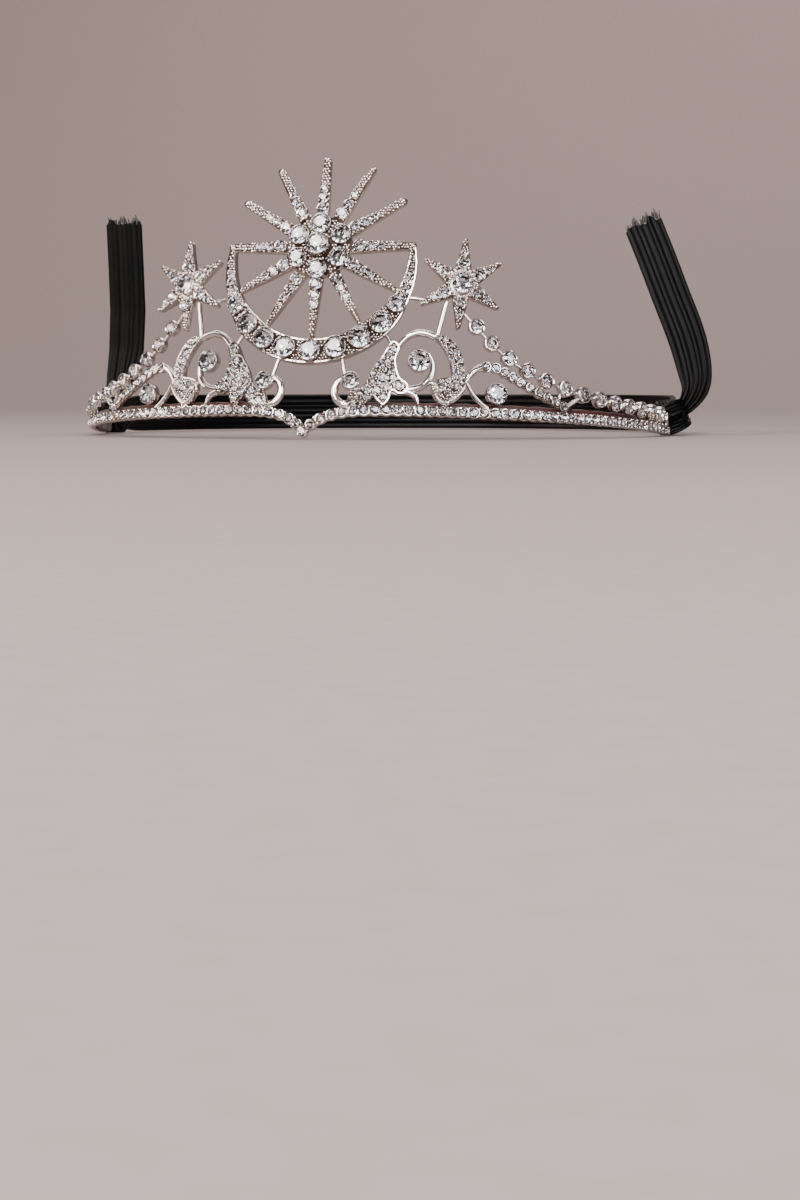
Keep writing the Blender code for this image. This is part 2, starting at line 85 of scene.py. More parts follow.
def bend(u, h, n=0.0):
    """Pattern to metres: base circle + h up the leaning face + n out of it. The lean is 20 degrees
    times cos squared of the turn, and the circle's height falls from the front to the sides."""
    u, h, n = np.broadcast_arrays(np.asarray(u, float), h, n)
    turn = u / PLAN_RADIUS
    # the turn and the lean depend on each other, and settle in a few rounds
    for _ in range(5):
        lean = LEAN * np.maximum(0.0, np.cos(turn)) ** 2
        turn = u / (PLAN_RADIUS - h * np.sin(lean))
    upright = np.zeros(u.shape + (3,)) + (0.0, 0.0, 1.0)
    outward = np.stack([np.sin(turn), -np.cos(turn), 0 * turn], -1)
    up = upright * np.cos(lean)[..., None] - outward * np.sin(lean)[..., None]
    out = outward * np.cos(lean)[..., None] + upright * np.sin(lean)[..., None]
    end = math.cos(BAND_END / PLAN_RADIUS)
    rise = FRONT_RISE * np.maximum(0.0, (np.cos(turn) - end) / (1 - end))
    base = outward * PLAN_RADIUS + (0, PLAN_CENTRE_Y, 0) + upright * rise[..., None]
    return (base + up * h[..., None] + out * n[..., None]) * MM


def unit(vectors):
    """Each vector divided by its length."""
    return vectors / np.maximum(np.linalg.norm(vectors, axis=-1, keepdims=True), 1e-12)


def stand(u, h, n=0.0, spin=0.0):
    """Where a small piece stands on the face: its middle, and its right, up and out directions,
    found from neighbouring points. spin turns right and up about out, in radians."""
    u, h, n, spin = (np.atleast_1d(a) for a in np.broadcast_arrays(u, h, n, spin))
    right = unit(bend(u + 0.5, h) - bend(u - 0.5, h))
    up = unit(bend(u, h + 0.5) - bend(u, h - 0.5))
    out = unit(np.cross(right, up))
    up = np.cross(out, right)
    c, s = np.cos(spin)[:, None], np.sin(spin)[:, None]
    middle = bend(u, h) + out * n[:, None] * MM
    return middle, np.stack([right * c + up * s, up * c - right * s, out], 1)


print("dip tip stands at z =", round(float(bend(0.0, -6.0)[2]), 5))

# %% [markdown]
# ## Shells
# A shell here is an array of points and a list of face arrays, each with the number of its
# finish and, on cloth, where its corners lie on the cloth. Grids of quads close round a section,
# along a path, or both, and caps close the ends, so no seam or pole stays open.


# %% Grids and caps
def grid_faces(rows, columns, closed=False):
    """Quads between neighbouring rows of a grid whose columns run round a section."""
    i = np.arange(rows if closed else rows - 1)[:, None]
    j = np.arange(columns)[None, :]
    after_i, after_j = (i + 1) % rows, (j + 1) % columns
    corners = (i * columns + j, i * columns + after_j, after_i * columns + after_j,
               after_i * columns + j)
    return np.stack(np.broadcast_arrays(*corners), -1).reshape(-1, 4)


def skin(grid, finish=0, closed=False):
    """A shell from a grid of points (rows, columns, 3): its quads, and a cap on each end unless
    the last row joins the first. finish may hold one number for each column."""
    rows, columns = grid.shape[:2]
    around = grid_faces(rows, columns, closed)
    finishes = np.tile(np.broadcast_to(finish, columns), len(around) // columns)
    faces = [(around, finishes, None)]
    if not closed:
        caps = np.stack([np.arange(columns), np.arange(columns) + (rows - 1) * columns])
        faces.append((caps, np.zeros(2, int), None))
    return grid.reshape(-1, 3), faces


def joined(shells):
    """Several shells as one, with the later ones' point numbers moved up."""
    points, faces, count = [], [], 0
    for own, own_faces in shells:
        points.append(own)
        faces += [(array + count, finish, uv) for array, finish, uv in own_faces]
        count += len(own)
    return np.concatenate(points), faces


print("a tube of 5 rows and 8 columns has", len(grid_faces(5, 8)), "quads and two caps")

# %% [markdown]
# A piece is one mesh object made of shells. Its normals are recalculated so that every shell faces
# outwards, which glass needs to bend light the right way. Metal is smooth up to a crease angle,
# and stones keep flat facets. Every piece rides on the one body, and may stand for CAD nodes.


# %% From shells to a piece
def make_piece(name, shells, materials, replaces, crease=40.0, paint_glints=False):
    """A mesh object from shells: outward faces, smooth up to the crease angle, on body root. The
    last switch gives each face a random number from 0 to 1 in an attribute, which picks the painted
    glint of a stone's facet."""
    points, faces = joined(shells)
    mesh = bpy.data.meshes.new(name)
    mesh.from_pydata(points, [], [row for array, _, _ in faces for row in array.tolist()])
    finish = np.concatenate([np.broadcast_to(f, len(a)) for a, f, _ in faces]).astype(np.int32)
    mesh.polygons.foreach_set("material_index", finish)
    if any(uv is not None for _, _, uv in faces):
        flat = [np.zeros((a.size, 2)) if uv is None else uv.reshape(-1, 2) for a, _, uv in faces]
        mesh.uv_layers.new(name="cloth").data.foreach_set("uv", np.concatenate(flat).ravel())
    if paint_glints:
        painted_glint = np.random.default_rng(len(points)).random(len(mesh.polygons))
        layer = mesh.attributes.new("painted_glint", "FLOAT", "FACE")
        layer.data.foreach_set("value", painted_glint.astype(np.float32))
    turned_out = bmesh.new()
    turned_out.from_mesh(mesh)
    bmesh.ops.recalc_face_normals(turned_out, faces=turned_out.faces)
    turned_out.to_mesh(mesh)
    turned_out.free()
    mesh.polygons.foreach_set("use_smooth", np.full(len(mesh.polygons), crease > 0))
    if crease > 0:
        mesh.set_sharp_from_angle(angle=math.radians(crease))
    for material in materials:
        mesh.materials.append(material)
    piece = bpy.data.objects.new(name, mesh)
    bpy.context.scene.collection.objects.link(piece)
    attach(piece, "root")
    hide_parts(*replaces)
    triangles = sum(len(array) * (array.shape[1] - 2) for array, _, _ in faces)
    print(f"{name}: {triangles} triangles")
    return piece


# %% [markdown]
# Three ways of making a shell do nearly all the metalwork: a section carried along a path on the
# face, a profile turned about a line, and one small shell set down at many places.


# %% Curves and bars
def curve(rows, step=0.45, closed=False):
    """A Catmull-Rom curve through the rows: between b and c, with t from 0 to 1, it is
    (2b + (c-a)t + (2a-5b+4c-d)t^2 + (3b-a-3c+d)t^3) / 2."""
    rows = np.asarray(rows, float)
    if closed:
        around = np.vstack([rows[-1:], rows, rows[:2]])
    else:
        around = np.vstack([2 * rows[0] - rows[1], rows, 2 * rows[-1] - rows[-2]])
    spans = len(around) - 3
    length = np.linalg.norm(np.diff(around[1:-1, :2], axis=0), axis=1).sum()
    t = np.linspace(0, spans, max(6, round(length / step)) + 1)
    t = t[:-1] if closed else t
    i = np.minimum(t.astype(int), spans - 1)
    f = (t - i)[:, None]
    a, b, c, d = (around[i + k] for k in range(4))
    return 0.5 * (2 * b + (c - a) * f + (2 * a - 5 * b + 4 * c - d) * f**2
                  + (3 * b - a - 3 * c + d) * f**3)


def sideways(rows, closed=False):
    """Unit vectors in the pattern, square to the path and to its left."""
    if closed:
        ahead = np.roll(rows, -1, 0)[:, :2] - np.roll(rows, 1, 0)[:, :2]
    else:
        ahead = np.gradient(rows[:, :2], axis=0)
    ahead = unit(ahead)
    return np.stack([-ahead[:, 1], ahead[:, 0]], 1)


def bar(rows, section, closed=False):
    """Carries a section along rows of u, h, half width. Each row of the section holds a share of
    the half width, millimetres added to it, the height n, and the finish of the face after it."""
    rows, section = np.asarray(rows, float), np.asarray(section, float)
    share, more, n, finish = section.T
    reach = np.abs(share) * rows[:, 2:3] + more
    # a sliver stays at a fine tip, so that the two sides never cross
    reach = np.sign(share) * np.maximum(reach, 0.04 * np.abs(share))
    across = sideways(rows, closed)
    u = rows[:, 0:1] + across[:, 0:1] * reach
    h = rows[:, 1:2] + across[:, 1:2] * reach
    return skin(bend(u, h, n[None, :]), finish.astype(int), closed)


def rounded(rows, start=True, end=True):
    """Draws the half width in to a half circle at the ends of a path."""
    rows = np.array(rows, float)
    steps = np.linalg.norm(np.diff(rows[:, :2], axis=0), axis=1)
    along = np.concatenate([[0], np.cumsum(steps)])
    for wanted, left, half in ((start, along, rows[0, 2]), (end, along[-1] - along, rows[-1, 2])):
        if wanted:
            inside = np.clip(1 - left / half, 0, 1)
            rows[:, 2] *= np.sqrt(np.maximum(1 - inside**2, 0.01))
    return rows


print("a test curve has", len(curve([(0, 0), (3, 1), (5, 4)])), "points")


# %% Turned shapes and copies
def turned(profile, sides, finish=0, closed=False):
    """A profile of radius and height turned about Z: (r cos a, r sin a, z). An open profile starts
    and ends on the axis, where its poles are closed by fans; a closed one makes a ring."""
    profile = np.asarray(profile, float)
    ring = profile if closed else profile[1:-1]
    angle = 2 * np.pi * np.arange(sides) / sides
    grid = np.stack([ring[:, :1] * np.cos(angle), ring[:, :1] * np.sin(angle),
                     np.repeat(ring[:, 1:2], sides, 1)], -1)
    points, around = grid.reshape(-1, 3), grid_faces(len(ring), sides, closed)
    if closed:
        return points, [(around, np.full(len(around), finish), None)]
    count = len(points)
    j = np.arange(sides)
    low = np.stack([(j + 1) % sides, j, np.full(sides, count)], 1)
    high = np.stack([j + count - sides, (j + 1) % sides + count - sides,
                     np.full(sides, count + 1)], 1)
    poles = [(0, 0, profile[0, 1]), (0, 0, profile[-1, 1])]
    fans = np.vstack([low, high])
    return np.vstack([points, poles]), [(around, np.full(len(around), finish), None),
                                        (fans, np.full(2 * sides, finish), None)]


def with_finish(shell, number):
    """The same shell with one finish all over."""
    points, faces = shell
    return points, [(array, np.full(len(array), number), uv) for array, _, uv in faces]


def spread(shell, places, size=1.0):
    """Copies of a shell in millimetres: middle + size (x right + y up + z out) at every place."""
    points, faces = shell
    middles, turns = places
    size = np.broadcast_to(size, len(middles))[:, None, None]
    copies = middles[:, None, :] + size * MM * np.einsum("pk,nkc->npc", points, turns)
    shift = (np.arange(len(middles)) * len(points))[:, None, None]
    made = [((array[None] + shift).reshape(-1, array.shape[1]),
             np.tile(np.broadcast_to(finish, len(array)), len(middles)), None)
            for array, finish, _ in faces]
    return copies.reshape(-1, 3), made


print("a test ring has", len(turned([(1, 0), (1, 1), (2, 1)], 8, closed=True)[0]), "points")

# %% [markdown]
# ## Finishes
# Plating, cut glass, satin and braid. Colours are sRGB hex values, as a colour picker gives them,
# so one function turns them into the linear values that a shader works with. Each node is added
# by one small function that also sets its values and links.


# %% Colour and node helpers
def linear(colour, alpha=1.0):
    """sRGB hex to linear: c/12.92 below 0.04045, else ((c + 0.055)/1.055)^2.4."""
    parts = [int(colour[i:i + 2], 16) / 255 for i in (1, 3, 5)]
    return (*(c / 12.92 if c <= 0.04045 else ((c + 0.055) / 1.055) ** 2.4 for c in parts), alpha)


def add_node(tree, kind, settings=None, values=None, links=None):
    """Adds a node, sets its properties and socket values, and links sockets into it."""
    node = tree.nodes.new(kind)
    for key, value in (settings or {}).items():
        setattr(node, key, value)
    for key, value in (values or {}).items():
        node.inputs[key].default_value = value
    for key, socket in (links or {}).items():
        tree.links.new(socket, node.inputs[key])
    return node


def new_material(name, values):
    """A material, its tree and its shader, with the constants on the shader's own sockets."""
    made = bpy.data.materials.new(name)
    made.use_nodes = True
    shader = made.node_tree.nodes["Principled BSDF"]
    for key, value in values.items():
        shader.inputs[key].default_value = value
    return made, made.node_tree, shader


def set_ramp(node, stops, step=False):
    """Fills a colour ramp with pairs of position and hex colour."""
    ramp = node.color_ramp
    ramp.interpolation = "CONSTANT" if step else "LINEAR"
    while len(ramp.elements) < len(stops):
        ramp.elements.new(1.0)
    for element, (place, colour) in zip(ramp.elements, stops):
        element.position = place
        element.color = linear(colour)


print("hex 80 is", round(linear("#808080")[0], 3), "in linear light")

# %% [markdown]
# Rhodium plating over a cast alloy is a bright, faintly warm grey. Where the caster polished it,
# it mirrors the room with soft, slightly uneven highlights. Where nobody could reach with a buff,
# between the stones, it keeps the fine skin of the mould, and there its colour is brown-black
# painted shade.

# %% Plated metal
BUFFING_MM = 6.0


def plated(name, colours, rough, skin_mm, depth_mm):
    """Metal whose colour and roughness drift over a few millimetres, with a fine cast skin."""
    made, tree, shader = new_material(name, {"Metallic": 1.0})
    place = add_node(tree, "ShaderNodeTexCoord").outputs["Object"]
    drift = add_node(tree, "ShaderNodeTexNoise",
                     values={"Scale": 1 / (BUFFING_MM * MM), "Detail": 3.0},
                     links={"Vector": place})
    tint = add_node(tree, "ShaderNodeValToRGB", links={"Fac": drift.outputs["Fac"]})
    set_ramp(tint, [(0.3, colours[0]), (0.7, colours[1])])
    tree.links.new(tint.outputs["Color"], shader.inputs["Base Color"])
    span = add_node(tree, "ShaderNodeMapRange", values={"To Min": rough[0], "To Max": rough[1]},
                    links={"Value": drift.outputs["Fac"]})
    tree.links.new(span.outputs["Result"], shader.inputs["Roughness"])
    grit = add_node(tree, "ShaderNodeTexNoise", values={"Scale": 1 / (skin_mm * MM), "Detail": 2.0},
                    links={"Vector": place})
    bump = add_node(tree, "ShaderNodeBump", values={"Strength": 1.0, "Distance": depth_mm * MM},
                    links={"Height": grit.outputs["Fac"]})
    tree.links.new(bump.outputs["Normal"], shader.inputs["Normal"])
    return made


# Buffed plating: a mirror that wavers a little, as hand-held buffing leaves it.
POLISHED = plated("buffed rhodium plate", ("#c6bdb8", "#e4dcd8"), rough=(0.06, 0.15),
                  skin_mm=0.9, depth_mm=0.012)
# Cast skin under the plating: duller and a little darker, with a grain of about 0.2 mm.
CAST = plated("cast rhodium plate", ("#a89d98", "#d5cdc9"), rough=(0.22, 0.4),
              skin_mm=0.2, depth_mm=0.02)
# Painted shade: the plate between the beads is brown-black for the shade that falls in the
# recesses, so that the beads and the stones stand out against it.
RECESS_WITH_PAINTED_SHADE = plated("unbuffed plate with painted shade in the recesses", ("#120e0c", "#46392f"), rough=(0.4, 0.6),
                skin_mm=0.25, depth_mm=0.03)
METALS = [POLISHED, CAST, RECESS_WITH_PAINTED_SHADE]
print("metal finishes:", [m.name for m in METALS])

# %% [markdown]
# The stones are cut glass with a silvered back, which is why they never look hollow: light enters
# the clear crown, meets a mirror behind each lower facet and comes back. So a stone is one closed
# mesh whose upper faces are glass and whose lower faces are foil. Each lower facet draws its own
# random number, and a stepped ramp turns it into the foil's colour there: painted reflections,
# light or dark, and a rare warm or blue facet of painted fire, for the colours that cut glass
# splits from light.

# %% Glass and foil
GLASS, _, _ = new_material("clear cut glass", {
    "Base Color": linear("#fbfcff"), "Transmission Weight": 1.0, "Roughness": 0.0, "IOR": 1.64})

FOIL_WITH_PAINTED_GLINTS, foil_tree, foil_shader = new_material("silvered stone back with painted glints", {
    "Metallic": 1.0, "Roughness": 0.04})
painted_glint = add_node(foil_tree, "ShaderNodeAttribute", {"attribute_name": "painted_glint"})
painted_glint_tint = add_node(foil_tree, "ShaderNodeValToRGB", links={"Fac": painted_glint.outputs["Fac"]})
# painted reflections and painted fire: dark, grey and white facets, and a few warm or blue ones
set_ramp(painted_glint_tint, [(0.0, "#26262c"), (0.09, "#9a9ba3"), (0.2, "#e6e9f0"), (0.45, "#ffffff"),
                     (0.9, "#f2c27c"), (0.93, "#b4ccff"), (0.96, "#ffe2c4")], step=True)
foil_tree.links.new(painted_glint_tint.outputs["Color"], foil_shader.inputs["Base Color"])
STONE = [GLASS, FOIL_WITH_PAINTED_GLINTS]
print("stone finishes:", [m.name for m in STONE])

# %% [markdown]
# The elastic is a braid of seven rubber cores bound in shiny black yarn. The yarn crosses each
# core in a fine slant, about two strands to the millimetre. The lining is a red-brown satin
# ribbon: long floating threads along it give a soft stripe of light across its wrinkles.

# %% Cloth finishes
WEAR_MM = 9.0


def yarn_material(name, colours, rough, thread_mm, slant, depth_mm, sheen, gloss):
    """Cloth whose threads are a wave on its own UV, in metres along and across the cloth. Between
    the threads it is darker and rougher, and its colour drifts over WEAR_MM."""
    made, tree, shader = new_material(name, {
        "Sheen Weight": sheen, "Sheen Roughness": 0.35, "Specular IOR Level": gloss})
    cloth = add_node(tree, "ShaderNodeUVMap", {"uv_map": "cloth"}).outputs["UV"]
    turned_cloth = add_node(tree, "ShaderNodeMapping", links={"Vector": cloth})
    turned_cloth.inputs["Rotation"].default_value = (0, 0, math.radians(slant))
    # a wave texture repeats 20/(2 pi) times per unit at scale 1
    scale = 2 * math.pi / (20 * thread_mm * MM)
    threads = add_node(tree, "ShaderNodeTexWave", values={"Scale": scale, "Distortion": 0.6},
                       links={"Vector": turned_cloth.outputs["Vector"]})
    drift = add_node(tree, "ShaderNodeTexNoise",
                     values={"Scale": 1 / (WEAR_MM * MM), "Detail": 3.0}, links={"Vector": cloth})
    both = add_node(tree, "ShaderNodeMath", {"operation": "MULTIPLY_ADD"}, values={1: 0.55},
                    links={0: threads.outputs["Fac"], 2: drift.outputs["Fac"]})
    tint = add_node(tree, "ShaderNodeValToRGB", links={"Fac": both.outputs["Value"]})
    set_ramp(tint, [(0.4, colours[0]), (1.0, colours[1])])
    tree.links.new(tint.outputs["Color"], shader.inputs["Base Color"])
    span = add_node(tree, "ShaderNodeMapRange", values={"To Min": rough[1], "To Max": rough[0]},
                    links={"Value": threads.outputs["Fac"]})
    tree.links.new(span.outputs["Result"], shader.inputs["Roughness"])
    bump = add_node(tree, "ShaderNodeBump", values={"Strength": 1.0, "Distance": depth_mm * MM},
                    links={"Height": threads.outputs["Fac"]})
    tree.links.new(bump.outputs["Normal"], shader.inputs["Normal"])
    return made


# Rayon over rubber: black with a dull shine along each core, and no fuzz to catch the light.
BRAID = yarn_material("black rayon braid", ("#010101", "#050505"), rough=(0.28, 0.42),
                      thread_mm=0.55, slant=28, depth_mm=0.015, sheen=0.0, gloss=0.08)
# Satin's threads are finer than 0.1 mm. They are drawn 0.4 mm apart, the finest that shows.
SATIN = yarn_material("red-brown satin ribbon", ("#190604", "#3c150d"), rough=(0.34, 0.5),
                      thread_mm=0.4, slant=80, depth_mm=0.02, sheen=0.2, gloss=0.3)
# Cut ends: black yarn and bare grey-brown rubber side by side, so the tips look pale and dark.
FRAY, fray_tree, fray_shader = new_material("cut rubber and yarn ends", {
    "Roughness": 0.6, "Sheen Weight": 0.3})
fray_place = add_node(fray_tree, "ShaderNodeTexCoord").outputs["Object"]
fray_drift = add_node(fray_tree, "ShaderNodeTexNoise", values={"Scale": 1 / (0.9 * MM)},
                      links={"Vector": fray_place})
fray_tint = add_node(fray_tree, "ShaderNodeValToRGB", links={"Fac": fray_drift.outputs["Fac"]})
set_ramp(fray_tint, [(0.5, "#090808"), (0.78, "#544c46")])
fray_tree.links.new(fray_tint.outputs["Color"], fray_shader.inputs["Base Color"])
print("cloth finishes:", [m.name for m in (BRAID, SATIN, FRAY)])

# %% [markdown]
# ## The elastic
# It is the one loose thing on the tiara: a flat strap that leaves one knot, goes round behind and
# comes back to the other. Its section has seven rounded ribs, one for each core. The section is
# carried along the route with its width held upright, and gathers where the knots pull it in.


# %% A ribbed strap
RIB_HEIGHTS = np.array((0.92, 1.0, 0.84, 0.96, 0.88, 1.0, 0.9))
CORES = len(RIB_HEIGHTS)
POINTS_PER_RIB = 4
HALF_CLOTH = 5.0 * MM


def strap(middles, widths, side_way, thick, ribs=CORES, closed=False):
    """A ribbed section along points in millimetres. Across, a goes from -1 to 1 and back, and the
    half thickness is thick/2 (0.62 + 0.38 |sin(ribs pi (a+1)/2)|^0.8) times the rib's own height.
    The ribs also differ in width, by a shift of 0.03 sin(3 pi a)."""
    middles = np.asarray(middles, float)
    a = np.linspace(-1, 1, POINTS_PER_RIB * ribs + 1)
    swell = thick / 2 * (0.62 + 0.38 * np.abs(np.sin(ribs * np.pi * (a + 1) / 2)) ** 0.8)
    swell *= RIB_HEIGHTS[np.minimum((a + 1) / 2 * ribs, ribs - 1).astype(int)]
    swell[[0, -1]] *= 0.5
    a = a + 0.03 * np.sin(3 * np.pi * a)
    share, half = np.concatenate([a, a[::-1]]), np.concatenate([swell, -swell[::-1]])
    if closed:
        ahead = np.roll(middles, -1, 0) - np.roll(middles, 1, 0)
    else:
        ahead = np.gradient(middles, axis=0)
    out = unit(np.cross(ahead, side_way))
    side = unit(np.cross(out, ahead))
    reach = share[None, :, None] * np.asarray(widths)[:, None, None] / 2
    grid = (middles[:, None, :] + side[:, None, :] * reach + out[:, None, :] * half[:, None]) * MM
    points, faces = skin(grid, closed=closed)
    steps = np.linalg.norm(np.diff(middles, axis=0), axis=1)
    along = np.concatenate([[0], np.cumsum(steps), [steps.sum() + steps[-1]]]) * MM
    # the yarn's own place: metres along the strap, and metres round its section
    across = np.concatenate([[0], np.cumsum(np.abs(np.diff(share)) + 0.02), [0]]) * HALF_CLOTH
    across[-1] = across[-2]
    rows, columns = len(middles) if closed else len(middles) - 1, len(share)
    i, j = np.meshgrid(np.arange(rows), np.arange(columns), indexing="ij")
    uv = np.stack([np.stack([along[i], across[j]], -1), np.stack([along[i], across[j + 1]], -1),
                   np.stack([along[i + 1], across[j + 1]], -1),
                   np.stack([along[i + 1], across[j]], -1)], -2).reshape(-1, 4, 2)
    faces[0] = (faces[0][0], faces[0][1], uv)
    return points, faces


print("the strap's section has", 2 * (POINTS_PER_RIB * CORES + 1), "points")

# %% The route round the back, as in the CAD part
KNOT_X, KNOT_Y, KNOT_Z = PLAN_RADIUS + 0.6, PLAN_CENTRE_Y + 1.2, 4.9
ELASTIC_WIDTH, ELASTIC_THICK, GATHERED_WIDTH = 10.5, 1.8, 7.0
BACK_DEPTH, BACK_HEIGHT = 88.0, 5.2

# half an ellipse from 2 mm behind one knot to the other, gathered over the ends of the way
t = np.linspace(0, 1, 141)
start = math.asin(2.0 / BACK_DEPTH)
turn = start + (math.pi - 2 * start) * t
gather = np.minimum(1.0, np.minimum(t, 1 - t) * 14)
back_route = np.stack([PLAN_RADIUS * np.cos(turn), KNOT_Y + BACK_DEPTH * np.sin(turn),
                       BACK_HEIGHT + 0.25 * gather], 1)
back_widths = GATHERED_WIDTH + (ELASTIC_WIDTH - GATHERED_WIDTH) * np.sin(gather * np.pi / 2)
back_strap = strap(back_route, back_widths, (0, 0, 1.0), ELASTIC_THICK)
elastic = make_piece("elastic_strap", [back_strap], [BRAID], ["elastic_back"])

# %% [markdown]
# The two cut ends stand up from the knots, because a short piece of braided elastic is stiff
# enough to hold itself up. At a cut, the rubber cores spring back and the yarn frays, so each core
# ends at its own height and short threads stick out of it.

# %% Cut ends
# x and y from the knot's middle, z, and width
LEFT_TAIL = ((0.0, 0.6, 6.0, 5.6), (0.8, 1.2, 9.5, 6.4), (2.9, 2.6, 18.0, 9.8),
             (4.0, 3.2, 30.0, 10.5), (3.8, 2.8, 45.0, 10.5), (3.4, 2.2, 60.0, 10.5))
RIGHT_TAIL = ((0.6, 0.2, 6.2, 4.4), (4.1, 0.4, 8.3, 5.0), (6.4, 1.0, 12.9, 7.8),
              (5.9, 1.6, 18.6, 9.6), (3.6, 2.2, 27.0, 10.4), (-0.8, 2.8, 38.0, 10.5),
              (-4.9, 3.4, 48.3, 10.5), (-9.0, 4.0, 58.0, 10.5))
thread_profile = [(0, 0), (0.1, 0.0), (0.1, 0.35), (0.075, 0.75), (0.015, 1.0), (0, 1.0)]


def frayed(tip, way, side, seed, count=84, length=3.1, width=ELASTIC_WIDTH, cores=CORES):
    """Short bent threads at a cut. The threads of one core make a tuft, with a lean and a length
    of its own, and each thread strays a little from its tuft and bows by 0.12 z^2."""
    random = np.random.default_rng(seed)
    core = np.arange(count) % cores
    tuft_lean, tuft_length = random.normal(0, 0.26, (cores, 2)), random.uniform(0.45, 1.0, cores)
    across = ((core + 0.5) / cores * 2 - 1 + random.normal(0, 0.06, count))[:, None]
    out = np.cross(way, side)
    middles = tip + side * across * width / 2 * 0.94 + out * random.uniform(-0.6, 0.6, (count, 1))
    middles = middles - way * random.uniform(0.3, 1.1, (count, 1))
    stray = tuft_lean[core] + random.normal(0, 0.13, (count, 2))
    lean = unit(way + side * stray[:, :1] + out * stray[:, 1:])
    right = unit(np.cross(lean, out)) * np.sign(random.normal(size=(count, 1)))
    turns = np.stack([right, np.cross(lean, right), lean], 1)
    sizes = length * tuft_length[core] * random.uniform(0.45, 1.0, count)
    points, faces = turned(thread_profile, 4)
    points[:, 0] += 0.12 * points[:, 2] ** 2
    return with_finish(spread((points, faces), (middles * MM, turns), sizes), 1)


def cut_end(name, tail, side, seed, replaced):
    """One end: the strap along its route, ragged at the top, with its threads."""
    rows = curve(tail, step=1.0)
    # sixty rows at even steps of the curve, in x, y, z and width
    rows = np.stack([np.interp(np.linspace(0, 1, 60), np.linspace(0, 1, len(rows)), column)
                     for column in rows.T], 1)
    middles = rows[:, :3] + (side * KNOT_X, KNOT_Y, 0)
    ahead = unit(np.gradient(middles, axis=0))
    across = unit(np.stack([ahead[:, 2], 0 * ahead[:, 1], -ahead[:, 0]], 1))
    points, faces = strap(middles, rows[:, 3], across, ELASTIC_THICK)
    # eight heights across the cut, which change at the top of each rib
    step = np.round((np.linspace(-1, 1, POINTS_PER_RIB * CORES + 1) + 1) * 3.49).astype(int)
    ragged = np.random.default_rng(seed).uniform(-1.3, 0.7, CORES + 1)
    ragged = ragged[np.concatenate([step, step[::-1]])]
    grid = points.reshape(len(middles), -1, 3)
    grid[-1] += ahead[-1] * ragged[:, None] * MM
    grid[-2] += ahead[-1] * ragged[:, None] * 0.4 * MM
    threads = frayed(middles[-1], ahead[-1], across[-1], seed)
    return make_piece(name, [(grid.reshape(-1, 3), faces), threads], [BRAID, FRAY],
                      [replaced])


end_right = cut_end("cut_end_right", RIGHT_TAIL, 1, 11, "elastic_end_right")
end_left = cut_end("cut_end_left", LEFT_TAIL, -1, 12, "elastic_end_left")

# %% [markdown]
# Each knot is the same strap wound round itself and pulled tight, so it is made of wraps: closed
# turns of the ribbed section, each laid on an ellipsoid in its own plane, over a plain core.

# %% Knots
KNOT_RADII = np.array((4.3, 4.9, 4.6))
WRAP_STEPS = 40


def wrap(centre, normal, width, swell, shift=0.0):
    """One turn of strap: points of the ellipsoid, swell times the knot's radii, where the plane
    with this normal cuts it, moved along the normal by shift. None goes below the table."""
    normal = unit(np.array(normal, float))
    first = unit(np.cross(normal, (0.3, 0.2, 1.0)))
    second = np.cross(normal, first)
    angle = np.linspace(0, 2 * np.pi, WRAP_STEPS, endpoint=False)[:, None]
    ring = np.cos(angle) * first + np.sin(angle) * second
    ring = ring / np.linalg.norm(ring / (KNOT_RADII * swell), axis=1, keepdims=True)
    middles = centre + ring + normal * shift
    side = np.broadcast_to(normal, middles.shape)
    widths = np.full(WRAP_STEPS, width)
    points, faces = strap(middles, widths, side, 2.0, ribs=4, closed=True)
    return np.maximum(points, (-1, -1, 0.05 * MM)), faces


def knot(name, side, replaced):
    """A core and four wraps in different planes, pressed flat where they lie on the table."""
    centre = np.array((side * KNOT_X, KNOT_Y, KNOT_Z))
    core = turned([(0, -1), (0.5, -0.85), (0.85, -0.5), (1, 0), (0.85, 0.5), (0.5, 0.85),
                   (0, 1)], 20)
    core = ((core[0] * KNOT_RADII * 0.8 + centre) * MM, core[1])
    wraps = [wrap(centre, (side * 0.1, 1.0, 0.15), 4.6, 0.78),
             wrap(centre, (side * 1.0, 0.2, 0.15), 3.6, 0.86, -2.0),
             wrap(centre, (side * -0.6, 0.15, 1.0), 4.2, 0.93, 0.9),
             wrap(centre, (side * -0.35, -0.3, 1.0), 3.4, 0.86, -2.0)]
    # a stub of the strap's end sticks out below the knot, in front
    stub = frayed(centre + (side * -1.5, -3.6, -1.2), unit(np.array((side * -0.5, -0.8, -0.3))),
                  np.array((1.0, 0, 0)), 21 + side, count=18, length=1.9, width=3.0, cores=3)
    return make_piece(name, [core] + wraps + [stub], [BRAID, FRAY], [replaced])


knot_right = knot("knot_right", 1, "elastic_knot_right")
knot_left = knot("knot_left", -1, "elastic_knot_left")

# %% [markdown]
# ## The lining
# The ribbon behind the band is folded round a soft strip, so it is a flat tube with puckers where
# it was stitched: its inner face rises and falls with a sum of slanting sine waves.

# %% Satin lining on each side
RIBBON_START, RIBBON_END = 14.0, 121.0
RIBBON_H, RIBBON_N = 2.42, -1.0


